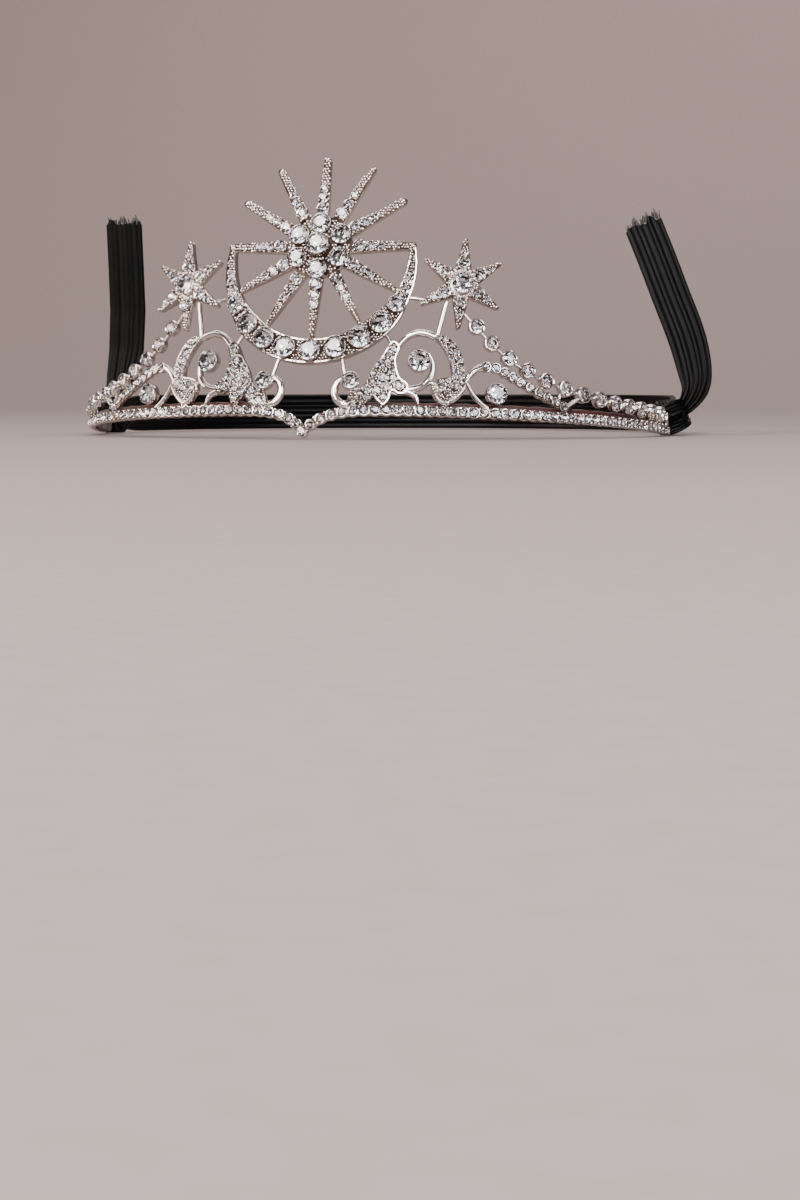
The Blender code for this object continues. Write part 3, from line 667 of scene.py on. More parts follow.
def lining(tag, side, seed):
    """A rounded flat tube from u 14 to 121 behind the band. Its inner face is pushed out and in by
    up to 0.2 mm: a sum of sines of u and h with periods of 2.5 to 11 mm."""
    random = np.random.default_rng(seed)
    u = np.linspace(RIBBON_START, RIBBON_END, 330)
    angle = np.linspace(0, 2 * np.pi, 28, endpoint=False)
    c, s = np.cos(angle), np.sin(angle)
    # a superellipse, |x|^3 + |y|^3 = 1: a flat section with round edges
    reach = (np.abs(c) ** 3 + np.abs(s) ** 3) ** (-1 / 3)
    h = RIBBON_H + 2.02 * reach * c
    n = RIBBON_N + 0.66 * reach * s
    uu, hh = np.meshgrid(u, h, indexing="ij")
    pucker = sum(depth * np.sin(2 * np.pi * (uu / period + lean * hh / period) + phase)
                 for period, lean, depth, phase in zip(
                     (2.5, 3.7, 5.9, 11.0), random.uniform(-0.7, 0.7, 4), (0.05, 0.06, 0.06, 0.05),
                     random.uniform(0, 6.28, 4)))
    # the ribbon's width wavers by 4 %, and its ends are pressed thin over the last 1.3 mm
    ends = np.minimum(1.0, np.minimum(u - u[0], u[-1] - u) / 2.0 + 0.35)[:, None]
    hh = RIBBON_H + (hh - RIBBON_H) * (0.96 + 0.04 * np.sin(uu * 0.9 + seed)) * ends
    nn = RIBBON_N + (n[None, :] - RIBBON_N) * ends + pucker * (n[None, :] < RIBBON_N)
    points, faces = skin(bend(side * uu, hh, nn))
    i, j = np.meshgrid(np.arange(len(u) - 1), np.arange(len(h)), indexing="ij")
    around = np.arange(len(h) + 1) * 0.4
    uv = np.stack([np.stack([u[i], around[j]], -1), np.stack([u[i], around[j + 1]], -1),
                   np.stack([u[i + 1], around[j + 1]], -1),
                   np.stack([u[i + 1], around[j]], -1)], -2).reshape(-1, 4, 2) * MM
    faces[0] = (faces[0][0], faces[0][1], uv)
    return make_piece(f"satin_{tag}", [(points, faces)], [SATIN], [f"lining_{tag}"])


lining("right", 1, 3)
lining("left", -1, 4)

# %% [markdown]
# ## Cut stones
# A round brilliant has a flat table, eight kites and eight stars round it, sixteen small facets at
# the edge, and below the edge sixteen short facets and eight long ones that meet in a point. The
# tiny stones are cut more simply, as they are on the real thing: a table, sixteen triangles and a
# pointed back. Each cut is written down once, as points on rings and a list of facets, and then
# copied, because a modelled facet catches light where a drawn one can't.


# %% The two cuts, for a stone of radius 1
def ring_points(count, radius, height, first=0.0):
    """count points on a circle, the first one at the angle given in steps."""
    angle = 2 * np.pi * (np.arange(count) + first) / count
    return np.stack([radius * np.cos(angle), radius * np.sin(angle), np.full(count, height)], 1)


def glass_and_foil(points, glass, foil):
    """A shell whose glass faces have finish 0 and whose foil faces have finish 1."""
    return points, ([(a, np.zeros(len(a), int), None) for a in glass]
                    + [(a, np.ones(len(a), int), None) for a in foil])


def brilliant(table=0.56, crown=0.36, pavilion=0.6):
    """The full cut. Points on the kites' planes follow z = crown (1 - (x - table)/(1 - table))."""
    star, low = 0.79, 0.28
    star_z = crown * (1 - (star * math.cos(math.pi / 8) - table) / (1 - table))
    low_z = -0.05 - pavilion * (1 - low * math.cos(math.pi / 8))
    points = np.vstack([ring_points(8, table, crown), ring_points(8, star, star_z, 0.5),
                        ring_points(16, 1.0, 0.0), ring_points(16, 1.0, -0.05),
                        ring_points(8, low, low_z, 0.5), [(0, 0, -0.05 - pavilion)]])
    # where each ring starts: table, stars, girdle, its lower edge, middle of the back, the point
    T, S, G, B, M, culet = 0, 8, 16, 32, 48, 56
    k = np.arange(8)
    after, before = (k + 1) % 8, (k - 1) % 8
    edge, middle, following = 2 * k, 2 * k + 1, (2 * k + 2) % 16
    glass = [np.arange(8)[None, :],
             np.stack([T + k, S + k, G + edge, S + before], 1),
             np.stack([T + k, T + after, S + k], 1),
             np.stack([S + k, G + edge, G + middle], 1),
             np.stack([S + k, G + middle, G + following], 1)]
    g = np.arange(16)
    foil = [np.stack([G + g, G + (g + 1) % 16, B + (g + 1) % 16, B + g], 1),
            np.stack([M + k, B + edge, B + middle], 1),
            np.stack([M + k, B + middle, B + following], 1),
            np.stack([np.full(8, culet), M + before, B + edge, M + k], 1)]
    return glass_and_foil(points, glass, foil)


def chip_cut(table=0.55, crown=0.42, pavilion=0.42):
    """The simple cut: a table, sixteen crown triangles and twenty-four foil ones."""
    points = np.vstack([ring_points(8, table, crown), ring_points(8, 1.0, 0.0, 0.5),
                        ring_points(8, 0.52, -0.5 * pavilion), [(0, 0, -pavilion)]])
    k = np.arange(8)
    after = (k + 1) % 8
    glass = [np.arange(8)[None, :], np.stack([k, after, 8 + k], 1),
             np.stack([after, 8 + after, 8 + k], 1)]
    foil = [np.stack([8 + k, 8 + after, 16 + after], 1), np.stack([16 + k, 16 + after, 8 + k], 1),
            np.stack([16 + k, 16 + after, np.full(8, 24)], 1)]
    return glass_and_foil(points, glass, foil)


BRILLIANT, CHIP = brilliant(), chip_cut()
print("facets:", sum(len(a) for a, _, _ in BRILLIANT[1]), sum(len(a) for a, _, _ in CHIP[1]))

# %% [markdown]
# ## Settings
# A large stone sits in a turned cup with a thin lip. A small one is held by beads of metal raised
# round it, and the same beads fill the ground between stones, which jewellers call a grain
# setting. The beads are placed on a staggered grid and kept only where they miss every stone.

# %% Cups, collars and beads
# how far the edge of a large stone stands out of the face, and the depth of a small stone's back
CUP_GIRDLE, CHIP_DEPTH = 3.05, 0.42
# profiles of radius and height, for a bead and for a stone of radius 1
BEAD = turned([(0, -0.9), (0.95, -0.9), (1.0, 0.1), (0.78, 0.62), (0.4, 0.92), (0, 1.0)], 7)
COLLAR = turned([(0.98, -0.8), (1.1, -0.8), (1.12, -0.06), (1.07, 0.05), (0.99, 0.02)], 12,
                closed=True)
# one source of random numbers for all the settings, so the pieces are made in a fixed order
random_grain = np.random.default_rng(5)


def cup(radius, low):
    """A turned cup for a stone of this radius: a cone inside, a rounded lip at the girdle."""
    out = radius + 0.24
    return turned([(0, low), (out * 0.86, low), (out, low + 0.5), (out, -0.12), (out - 0.05, 0.02),
                   (out - 0.1, 0.06), (radius + 0.09, 0.0), (radius + 0.02, -0.2),
                   (radius * 0.12, -0.06 - 0.86 * radius), (0, -0.08 - 0.86 * radius)], 32)


print("a cup has", sum(len(a) for a, _, _ in cup(2.5, -2.4)[1]), "faces")


# %% Grain: beads wherever there is room
def inside(outline, points):
    """Whether each point is inside a closed outline, by counting the edges a ray crosses."""
    a, b = outline, np.roll(outline, -1, 0)
    x, y = points[:, 0:1], points[:, 1:2]
    crosses = (a[:, 1] > y) != (b[:, 1] > y)
    at = a[:, 0] + (y - a[:, 1]) * (b[:, 0] - a[:, 0]) / np.where(crosses, b[:, 1] - a[:, 1], 1)
    return (crosses & (x < at)).sum(1) % 2 == 1


def clearance(outline, points):
    """The distance from each point to the nearest edge of the outline."""
    a, along = outline, np.roll(outline, -1, 0) - outline
    share = ((points[:, None] - a) * along).sum(-1) / np.maximum((along**2).sum(-1), 1e-9)
    nearest = a + np.clip(share, 0, 1)[..., None] * along
    return np.linalg.norm(points[:, None] - nearest, axis=-1).min(1)


def grains(outline, stones, n, radius, pitch, edge):
    """Beads at height n on a staggered grid inside an outline. Each strays a little, and is kept
    if its middle is more than edge from the outline and clear of the stones."""
    low, high = outline.min(0), outline.max(0)
    rows, columns = np.meshgrid(np.arange(low[1], high[1], pitch * 0.87),
                                np.arange(low[0], high[0], pitch), indexing="ij")
    columns = columns + (np.arange(len(rows)) % 2)[:, None] * pitch / 2
    spots = np.stack([columns.ravel(), rows.ravel()], 1)
    spots = spots + random_grain.normal(0, 0.06, spots.shape)
    spots = spots[inside(outline, spots)]
    spots = spots[clearance(outline, spots) > edge]
    stones = np.asarray(stones, float).reshape(-1, 3)
    gap = np.linalg.norm(spots[:, None] - stones[:, :2], axis=-1) - stones[:, 2]
    spots = spots[gap.min(1) > radius * 0.45]
    size = radius * random_grain.uniform(0.85, 1.15, len(spots))
    return spread(BEAD, stand(spots[:, 0], spots[:, 1], n), size)


middle_gap = clearance(ring_points(4, 1, 0)[:, :2], np.zeros((1, 2)))[0]
print("the middle of a test square is", round(float(middle_gap), 3), "from its edge")


# %% Small stones and what holds them
def girdle(radius, ground):
    """The height of a small stone's edge when its point just clears the metal below."""
    return ground + CHIP_DEPTH * radius + 0.05


def tipped(places, most):
    """A hand-set stone never lies quite level: out leans towards right and up by random angles of
    up to most degrees, and right and up follow it. So each stone catches another light."""
    middles, turns = places
    a, b = np.radians(random_grain.uniform(-most, most, (2, len(middles), 1)))
    out = unit(turns[:, 2] + turns[:, 0] * a + turns[:, 1] * b)
    right = unit(turns[:, 0] - out * (turns[:, 0] * out).sum(-1, keepdims=True))
    return middles, np.stack([right, np.cross(out, right), out], 1)


def set_chips(stones, ground):
    """Small stones as rows of u, h, radius, each turned by its own angle, on metal at ground."""
    stones = np.asarray(stones, float).reshape(-1, 3)
    spins = random_grain.uniform(0, np.pi, len(stones))
    height = girdle(stones[:, 2], ground)
    spots = tipped(stand(stones[:, 0], stones[:, 1], height, spins), 6.0)
    return spread(CHIP, spots, stones[:, 2])


def collars(stones, ground):
    """A thin wall of metal round each small stone, from below the ground to its edge."""
    stones = np.asarray(stones, float).reshape(-1, 3)
    height = girdle(stones[:, 2], ground)
    return spread(COLLAR, stand(stones[:, 0], stones[:, 1], height), stones[:, 2])


def prongs(stones, ground, count=5):
    """Beads round the edge of each small stone, which hold it down."""
    u, h, radius = np.repeat(np.asarray(stones, float).reshape(-1, 3), count, 0).T
    first = np.repeat(random_grain.uniform(0, 2 * np.pi, len(u) // count), count)
    angle = first + 2 * np.pi * np.tile(np.arange(count), len(u) // count) / count
    reach = radius + 0.06
    places = stand(u + reach * np.cos(angle), h + reach * np.sin(angle), girdle(radius, ground))
    return spread(BEAD, places, 0.14 + 0.1 * radius)


print("a small stone of radius 1 stands", round(girdle(1.0, 0.0), 2), "mm above its ground")

# %% [markdown]
# The cast bars differ in their sections. Each row of a section holds a share of the half width,
# millimetres added to it, the height n, and the number of the finish: 0 buffed, 1 cast, 2 the
# unbuffed ground in brown-black painted shade. A tray has a raised rim round its stones, a slab has
# none, and a wire is arched.


# %% Sections of bars
def edges_of(rows):
    """The outline of a bar: its left edge, then its right edge backwards."""
    across = sideways(np.asarray(rows, float))
    left = rows[:, :2] + across * rows[:, 2:3]
    right = rows[:, :2] - across * rows[:, 2:3]
    return np.vstack([left, right[::-1]])


def tray(back, front, bevel=0.16, rim=0.3, sunk=0.3):
    """The section of a stone-set bar: buffed sides and rim, and a sunk unbuffed floor in painted
    shade.
    """
    return [(1, 0, back, 0), (1, 0, front - bevel, 0), (1, -bevel * 0.6, front, 0),
            (1, -rim, front, 2), (1, -rim - 0.08, front - sunk, 2),
            (-1, -rim - 0.08, front - sunk, 2), (-1, -rim, front, 0), (-1, -bevel * 0.6, front, 0),
            (-1, 0, front - bevel, 0), (-1, 0, back, 1)]


def slab(back, front, bevel=0.14):
    """The section of a ray: plain buffed sides, and a top in painted shade, grain-set right to its
    edges.
    """
    return [(1, 0, back, 0), (1, 0, front - bevel, 0), (1, -bevel * 0.7, front, 2),
            (-1, -bevel * 0.7, front, 0), (-1, 0, front - bevel, 0), (-1, 0, back, 1)]


def half_round(back, front, points=11):
    """The section of a wire: flat behind and arched in front."""
    angle = np.linspace(0, np.pi, points)
    arch = [(math.cos(a), 0, back + (front - back) * (0.3 + 0.7 * math.sin(a)), 0) for a in angle]
    return [(1, -0.05, back, 0)] + arch + [(-1, -0.05, back, 1)]


print("a tray's section has", len(tray(0.0, 1.0)), "points, a wire's", len(half_round(0, 1)))


# %% Pieces of metal and of stones
def metalwork(name, shells):
    """A piece of the soldered frame, in its three metal finishes."""
    return make_piece(name, shells, METALS, ["metal_frame"])


def stones_of(name, shells, replaced="metal_frame"):
    """A piece of flat-faced stones, each facet with its own random number for its painted glint."""
    return make_piece(name, shells, STONE, [replaced], crease=0, paint_glints=True)


print("finishes of a metal piece:", len(METALS), "and of a stone:", len(STONE))

# %% [markdown]
# ## The band
# The band carries one row of small stones from end to end, each in its own scallop, and drops to a
# point at the front. Both edges swell and pinch with the pitch of the stones, and at the point the
# two halves are mitred so that the upper edge keeps a clean notch.

# %% The band's middle line
BAND_MIDDLE, DIP_DEPTH, DIP_REACH, PITCH = 1.65, 6.0, 4.5, 2.77


def band_height(u):
    """h of the middle line: level, less a dip of 6 mm that fades as exp(-|u| / 4.5)."""
    return BAND_MIDDLE - DIP_DEPTH * np.exp(-np.abs(u) / DIP_REACH)


fine_u = np.linspace(0, BAND_END, 8000)
fine_s = np.concatenate([[0], np.cumsum(np.hypot(np.diff(fine_u), np.diff(band_height(fine_u))))])


def band_place(s):
    """u and h at a distance s along the band's middle line."""
    u = np.sign(s) * np.interp(np.abs(s), fine_s, fine_u)
    return u, band_height(u)


def band_sides(u):
    """Directions from the middle line to the upper and the lower edge, mitred at the dip."""
    slope = DIP_DEPTH / DIP_REACH * np.exp(-np.abs(u) / DIP_REACH)
    side, c = np.where(u < 0, -1.0, 1.0), 1 / np.hypot(1, slope)
    near = np.exp(-(u / 1.6) ** 2)
    mitre = slope * near
    upper = np.stack([side * (-slope * c + mitre * c), c + mitre * slope * c], 1)
    lower = -upper * (1 - (1 - c) * near)[:, None]
    return upper, lower


print("the band is", round(2 * float(fine_s[-1]), 1), "mm long")

# %% The band, its collets, beads and stones
# 43 stones on each side of the middle one, and ten rows of metal to a stone
stone_s = PITCH * np.arange(-43, 44)
s = np.arange(-43.4, 43.4001, 1 / 10) * PITCH
u, h = band_place(s)
upper, lower = band_sides(u)
scallop = 1.02 + 0.24 * np.abs(np.cos(np.pi * s / PITCH))
section = np.array(slab(0.0, 0.95, bevel=0.2))
share, more, n, finish = section.T
reach = np.abs(share) * scallop[:, None] + more
ways = np.where(share[None, :, None] > 0, upper[:, None, :], lower[:, None, :])
plane = np.stack([u, h], 1)[:, None, :] + ways * reach[..., None]
band_metal = skin(bend(plane[..., 0], plane[..., 1], n[None, :]), finish.astype(int))

band_u, band_h = band_place(stone_s)
band_stones = np.stack([band_u, band_h, np.full(len(band_u), 1.16)], 1)
COLLET = turned([(1.06, 0.3), (1.38, 0.05), (1.43, 1.15), (1.4, 1.32), (1.32, 1.42),
                 (1.24, 1.43), (1.16, 1.36)], 14, closed=True)
between = (stone_s[:-1] + stone_s[1:]) / 2
bead_u, bead_h = band_place(between)
up_way, down_way = band_sides(bead_u)
beads = [spread(BEAD, stand(bead_u + way[:, 0] * 0.98, bead_h + way[:, 1] * 0.98, 1.25), 0.36)
         for way in (up_way, down_way)]
collets = spread(COLLET, stand(band_u, band_h))
metalwork("band", [band_metal, collets] + beads)
stones_of("band_stones", [set_chips(band_stones, 1.0)])

# %% [markdown]
# ## The crescent
# A round bar that opens towards its horns. Seven large brilliants nearly touch along its bottom,
# smaller ones follow up each side, and beads fill what is left, right up to the corners.

# %% The crescent and its stones
CRESCENT_CENTRE, CRESCENT_RADIUS, CRESCENT_OPENS, HORN_ANGLE = 39.0, 22.0, 2.6, 105.0


def crescent_middle(angle):
    """u and h of the middle line: a radius of 22 + 2.6 (angle/105)^2 about the centre."""
    radius = CRESCENT_RADIUS + CRESCENT_OPENS * (np.abs(angle) / HORN_ANGLE) ** 2
    turn = np.radians(angle)
    return radius * np.sin(turn), CRESCENT_CENTRE - radius * np.cos(turn)


angles = np.linspace(-HORN_ANGLE, HORN_ANGLE, 260)
halves = np.interp(np.abs(angles), (0, 50, 62, 72, 81, 93, 105),
                   (3.3, 3.25, 2.6, 2.0, 1.7, 1.3, 0.75))
crescent_rows = np.stack([*crescent_middle(angles), halves], 1)
# angle in degrees and radius of each stone on one side: the small ones, then the large ones
small = np.array([(75.0, 1.4), (81.8, 1.15), (87.4, 0.9)])
small = np.vstack([small, small * (-1, 1)])
small_stones = np.stack([*crescent_middle(small[:, 0]), small[:, 1]], 1)
LARGE_IN_CRESCENT = ((0, 2.65), (17, 2.65), (33.5, 2.65), (50, 2.65), (65.5, 2.1))
big = np.array([(a * side, r) for a, r in LARGE_IN_CRESCENT[1:] for side in (1, -1)]
               + [LARGE_IN_CRESCENT[0]])
big_stones = np.stack([*crescent_middle(big[:, 0]), big[:, 1] + 0.3], 1)
crescent_grains = grains(edges_of(crescent_rows), np.vstack([small_stones, big_stones]), 1.82,
                         radius=0.34, pitch=0.8, edge=0.4)
crescent_bar = bar(rounded(crescent_rows), tray(0.2, 1.9, bevel=0.35, rim=0.42, sunk=0.35))
# the sunk floor that the small stones stand on
FLOOR_N = 1.55
metalwork("crescent", [crescent_bar, prongs(small_stones, FLOOR_N),
                       collars(small_stones, FLOOR_N), crescent_grains])
stones_of("crescent_small_stones", [set_chips(small_stones, FLOOR_N)])

# %% [markdown]
# ## The burst
# Twelve rays round a hub. The seven upper ones are blunt and end in a bead, and the five lower ones
# are pointed and reach the crescent. Each ray holds three stones that get smaller outwards and
# then beads only.

# %% A ray
BURST_CENTRE, RAY_ROOT, BURST_RADIUS = 45.2, 6.9, 24.8
RAY_FRONT = 1.8
BLUNT = ((0.0, 1.75), (0.3, 1.48), (0.6, 1.2), (0.9, 1.0), (1.0, 0.92))
POINTED = ((0.0, 1.75), (0.35, 1.4), (0.7, 0.9), (0.95, 0.5), (1.0, 0.25))
RAY_STONES = ((10.3, 1.5), (13.3, 1.25), (15.9, 1.02))


def ray(centre, angle, start, tip, widths, step=0.5):
    """Rows of u, h, half width along a straight ray, closer together towards its tip."""
    share = np.sin(np.linspace(0, np.pi / 2, max(8, round((tip - start) / step))))
    radius = start + (tip - start) * share
    half = np.interp(share, *zip(*widths))
    return np.stack([centre[0] + radius * math.cos(angle), centre[1] + radius * math.sin(angle),
                     half], 1)


def along_ray(centre, angle, stones):
    """Stones given by radius from a centre, as u, h, radius."""
    return [(centre[0] + r * math.cos(angle), centre[1] + r * math.sin(angle), size)
            for r, size in stones]


print("a blunt ray has", len(ray((0, 0), 0, RAY_ROOT, BURST_RADIUS, BLUNT)), "rows")

# %% The twelve rays
burst = (0.0, BURST_CENTRE)
burst_shells, ray_stones = [], []
for i in range(12):
    angle = math.radians(30 * i)
    blunt = i <= 6
    reach, widths = (BURST_RADIUS, BLUNT) if blunt else (BURST_RADIUS - 0.2, POINTED)
    rows = ray(burst, angle, RAY_ROOT, reach, widths)
    stones = along_ray(burst, angle, RAY_STONES)
    ray_stones += stones
    outline = edges_of(rows)
    burst_shells.append(bar(rounded(rows, start=False, end=blunt), slab(0.3, RAY_FRONT)))
    burst_shells += [prongs(stones, RAY_FRONT), collars(stones, RAY_FRONT)]
    # the hub counts as one more stone here, so that no bead lies under it
    burst_shells.append(grains(outline, stones + [(0, BURST_CENTRE, 8.6)], 1.86, radius=0.37,
                               pitch=0.8, edge=0.12))
    if blunt:
        tip = along_ray(burst, angle, [(BURST_RADIUS - 0.75, 0.5)])[0]
        burst_shells.append(spread(BEAD, stand(tip[0], tip[1], RAY_FRONT), 0.55))
print("the rays hold", len(ray_stones), "stones")

# %% The hub, and the whole burst
HUB_RADIUS, HUB_SIDES, RING_RADIUS = 8.4, 64, 6.25
hub_profile = [(0, 0.4), (HUB_RADIUS, 0.4), (HUB_RADIUS, 1.75), (HUB_RADIUS - 0.15, 1.95),
               (HUB_RADIUS - 0.5, 1.95), (HUB_RADIUS - 0.6, 1.7), (0, 1.7)]
hub_points, hub_faces = turned(hub_profile, HUB_SIDES)
# finishes: the floor inside the rim is unbuffed, in painted shade, and the back is cast
hub_faces[0][1][-HUB_SIDES * 2:] = 2
hub_faces[1][1][:] = np.repeat((1, 2), HUB_SIDES)
hub = (bend(hub_points[:, 0], hub_points[:, 1] + BURST_CENTRE, hub_points[:, 2]), hub_faces)
ring_angles = np.radians(90 + 60 * np.arange(6))
ring_stones = np.stack([RING_RADIUS * np.cos(ring_angles),
                        BURST_CENTRE + RING_RADIUS * np.sin(ring_angles), np.full(6, 2.7)], 1)
round_hub = ring_points(96, HUB_RADIUS, 0)[:, :2] + burst
hub_grains = grains(round_hub, np.vstack([ring_stones, [(0, BURST_CENTRE, 3.05)]]), 2.0,
                    radius=0.38, pitch=0.84, edge=0.4)
metalwork("burst", burst_shells + [hub, hub_grains])
stones_of("ray_stones", [set_chips(ray_stones, RAY_FRONT)])

# %% [markdown]
# ## Large stones
# Twenty-four stones are big enough to have a solid of their own in the CAD model. Each becomes a
# full brilliant in the same place, in a turned cup that belongs to the metalwork.

# %% Large stones and their cups
# u, h and radius for each name on the right, and in places also how far the stone is raised
singles = {"star_stone": (37.5, 35.2, 2.5), "spiral_stone": (27.6, 14.4, 2.6),
           "loop_stone": (47.8, 6.5, 2.5), "curl_stone": (11.0, 8.9, 2.05)}
places = {"burst_stone": (0.0, BURST_CENTRE, 2.75, 1.7)}
for i in range(6):
    places[f"ring_stone_{i + 1}"] = (*ring_stones[i, :2], 2.4, 0.0)
for i, (angle, radius) in enumerate(LARGE_IN_CRESCENT):
    for side, tag in ((1, "r"), (-1, "l")) if i else ((1, ""),):
        spot = crescent_middle(side * angle)
        places[f"crescent_stone_{tag}{i}"] = (float(spot[0]), float(spot[1]), radius, 0.0)
for name, (u, h, radius) in singles.items():
    places[f"{name}_r"] = (u, h, radius, 0.0)
    places[f"{name}_l"] = (-u, h, radius, 0.0)

cups = []
for number, (name, (u, h, radius, raised)) in enumerate(places.items()):
    spot = tipped(stand(u, h, CUP_GIRDLE + raised, 0.35 * number), 3.0)
    # the stone's edge lies under the lip of its cup, whose foot stands in the metal behind
    stones_of(f"brilliant_{name}", [spread(BRILLIANT, spot, radius + 0.08)], name)
    cups.append(spread(cup(radius, -2.5 - (0.9 if raised else 0)), spot))
    claw = 2 * np.pi * (np.arange(8) + 0.5) / 8
    claws = stand(u + (radius + 0.1) * np.cos(claw), h + (radius + 0.1) * np.sin(claw),
                  CUP_GIRDLE + raised - 0.06)
    cups.append(spread(BEAD, claws, 0.2))
metalwork("cups", cups)

# %% [markdown]
# ## Stars
# A six-pointed star on each side: a beaded middle and six tapering arms, each with a stone near its
# root, a smaller one beyond, and beads out to a fine tip.

# %% Stars
STAR_CENTRE, STAR_RADIUS, STAR_FRONT = (37.5, 35.2), 12.0, 1.7
STAR_STONES = ((5.3, 1.5), (8.1, 0.95))
STAR_ARM = ((0.0, 2.35), (0.3, 2.0), (0.65, 1.15), (0.93, 0.55), (1.0, 0.3))
for side, tag in ((1, "right"), (-1, "left")):
    centre = (side * STAR_CENTRE[0], STAR_CENTRE[1])
    shells, star_stones = [], []
    for i in range(6):
        # one arm points up, 2 degrees off, and the left star is the right one mirrored
        angle = math.radians(-2 + 30 + 60 * i)
        angle = angle if side > 0 else math.pi - angle
        rows = ray(centre, angle, 1.5, STAR_RADIUS, STAR_ARM)
        stones = along_ray(centre, angle, STAR_STONES)
        star_stones += stones
        shells += [bar(rounded(rows, start=False), slab(0.3, STAR_FRONT)),
                   prongs(stones, STAR_FRONT), collars(stones, STAR_FRONT),
                   grains(edges_of(rows), stones + [(*centre, 3.7)], 1.76, radius=0.36,
                          pitch=0.78, edge=0.12)]
    # the middle is a low drum, beaded round its stone
    boss = turned([(0, 0.35), (4.05, 0.35), (4.05, 1.6), (3.9, 1.8), (0, 1.8)], 40)
    boss = (bend(boss[0][:, 0] + centre[0], boss[0][:, 1] + centre[1], boss[0][:, 2]), boss[1])
    beading = ring_points(18, 3.45, 0)[:, :2] + centre
    shells += [boss, spread(BEAD, stand(beading[:, 0], beading[:, 1], 1.9), 0.5)]
    metalwork(f"star_{tag}", shells)
    stones_of(f"star_stones_{tag}", [set_chips(star_stones, STAR_FRONT)])

# %% [markdown]
# ## Scrolls
# Between the crescent and the band run plain wires and stone-set leaves. The wires are half-round
# bars along smooth curves. The leaf and the bulb are plates with a raised rim and a sunk floor:
# rings of one closed outline that step inwards along its own normals and end in a fan.

# %% The scrolls of the right half
# wires as u, h and half width, plates as u and h, links as two ends and a half width
WIRE, THIN_WIRE = half_round(0.25, 1.45), half_round(0.4, 1.25)
CURL = ((11.0, 2.7, 0.9), (8.2, 3.9, 0.95), (7.0, 6.4, 0.95), (7.6, 9.0, 0.9), (9.6, 10.6, 0.85))
ARC = ((21.9, 18.4, 0.75), (24.1, 21.1, 0.9), (26.7, 22.3, 0.95), (29.3, 22.1, 0.95),
       (31.8, 21.0, 0.85))
ARM = ((31.6, 21.2, 0.8), (33.6, 20.1, 1.3), (35.4, 18.2, 1.6), (36.8, 15.8, 1.7),
       (37.6, 13.2, 1.6), (37.6, 10.6, 1.5), (36.9, 8.6, 1.5))
SPIRAL = ((24.4, 7.2, 1.1), (27.0, 7.6, 0.95), (29.2, 8.5, 0.95), (30.8, 10.4, 0.9),
          (31.3, 13.0, 0.72), (30.8, 15.4, 0.5), (29.5, 17.3, 0.28))
THORN = ((24.2, 7.0, 1.0), (26.4, 6.3, 0.85), (27.6, 5.1, 0.6), (28.2, 3.1, 0.3))
LOOP = ((39.4, 8.9, 0.8), (41.0, 11.5, 0.9), (43.0, 13.2, 1.0), (45.4, 13.9, 1.1))
LOOP_ARM = ((40.0, 9.6, 0.4), (42.0, 6.5, 0.5), (44.1, 4.3, 0.6), (46.3, 2.8, 0.8))
ARCH = ((44.6, 13.8, 0.95), (47.8, 13.5, 1.0), (50.3, 12.4, 1.0), (55.2, 10.0, 1.0),
        (60.5, 7.6, 1.0), (65.6, 5.5, 1.0), (71.0, 3.3, 1.0))
LIP = ((31.4, 7.4, 0.3), (32.6, 5.2, 0.5), (34.8, 3.7, 0.65), (37.0, 4.9, 0.75), (39.0, 7.2, 0.7),
       (39.9, 9.4, 0.35))
LEAF = ((20.4, 19.7), (18.0, 15.4), (15.9, 12.2), (14.6, 8.6), (12.8, 7.2), (11.2, 6.6),
        (10.5, 2.7), (14.2, 2.7), (15.6, 3.9), (16.8, 5.3), (17.8, 4.2), (19.5, 2.9), (20.8, 4.6),
        (21.3, 6.7), (23.1, 5.9), (24.9, 6.4), (25.1, 8.5), (23.0, 10.3), (22.1, 12.7),
        (21.7, 15.3), (22.4, 18.3))
BULB = ((33.5, 4.3), (34.6, 2.6), (35.6, 2.6), (36.1, 4.2), (38.0, 5.9), (39.7, 8.2), (39.6, 9.9),
        (37.8, 10.9), (34.4, 10.5), (32.4, 10.0), (31.3, 8.4), (31.3, 6.5))
LINKS = ((9.4, 10.8, 8.1, 15.6, 0.5), (20.4, 19.2, 18.2, 22.6, 0.5), (33.7, 30.6, 31.8, 21.2, 0.6),
         (27.6, 31.1, 24.0, 31.6, 0.45), (38.6, 27.4, 41.0, 24.9, 0.5), (30.4, 9.4, 32.2, 8.6, 0.5),
         (56.4, 11.8, 55.4, 10.0, 0.5), (62.2, 10.2, 60.8, 7.8, 0.5), (67.6, 8.4, 66.2, 5.6, 0.5),
         (69.0, 4.4, 73.2, 6.9, 0.55))
print("links on each side:", len(LINKS))


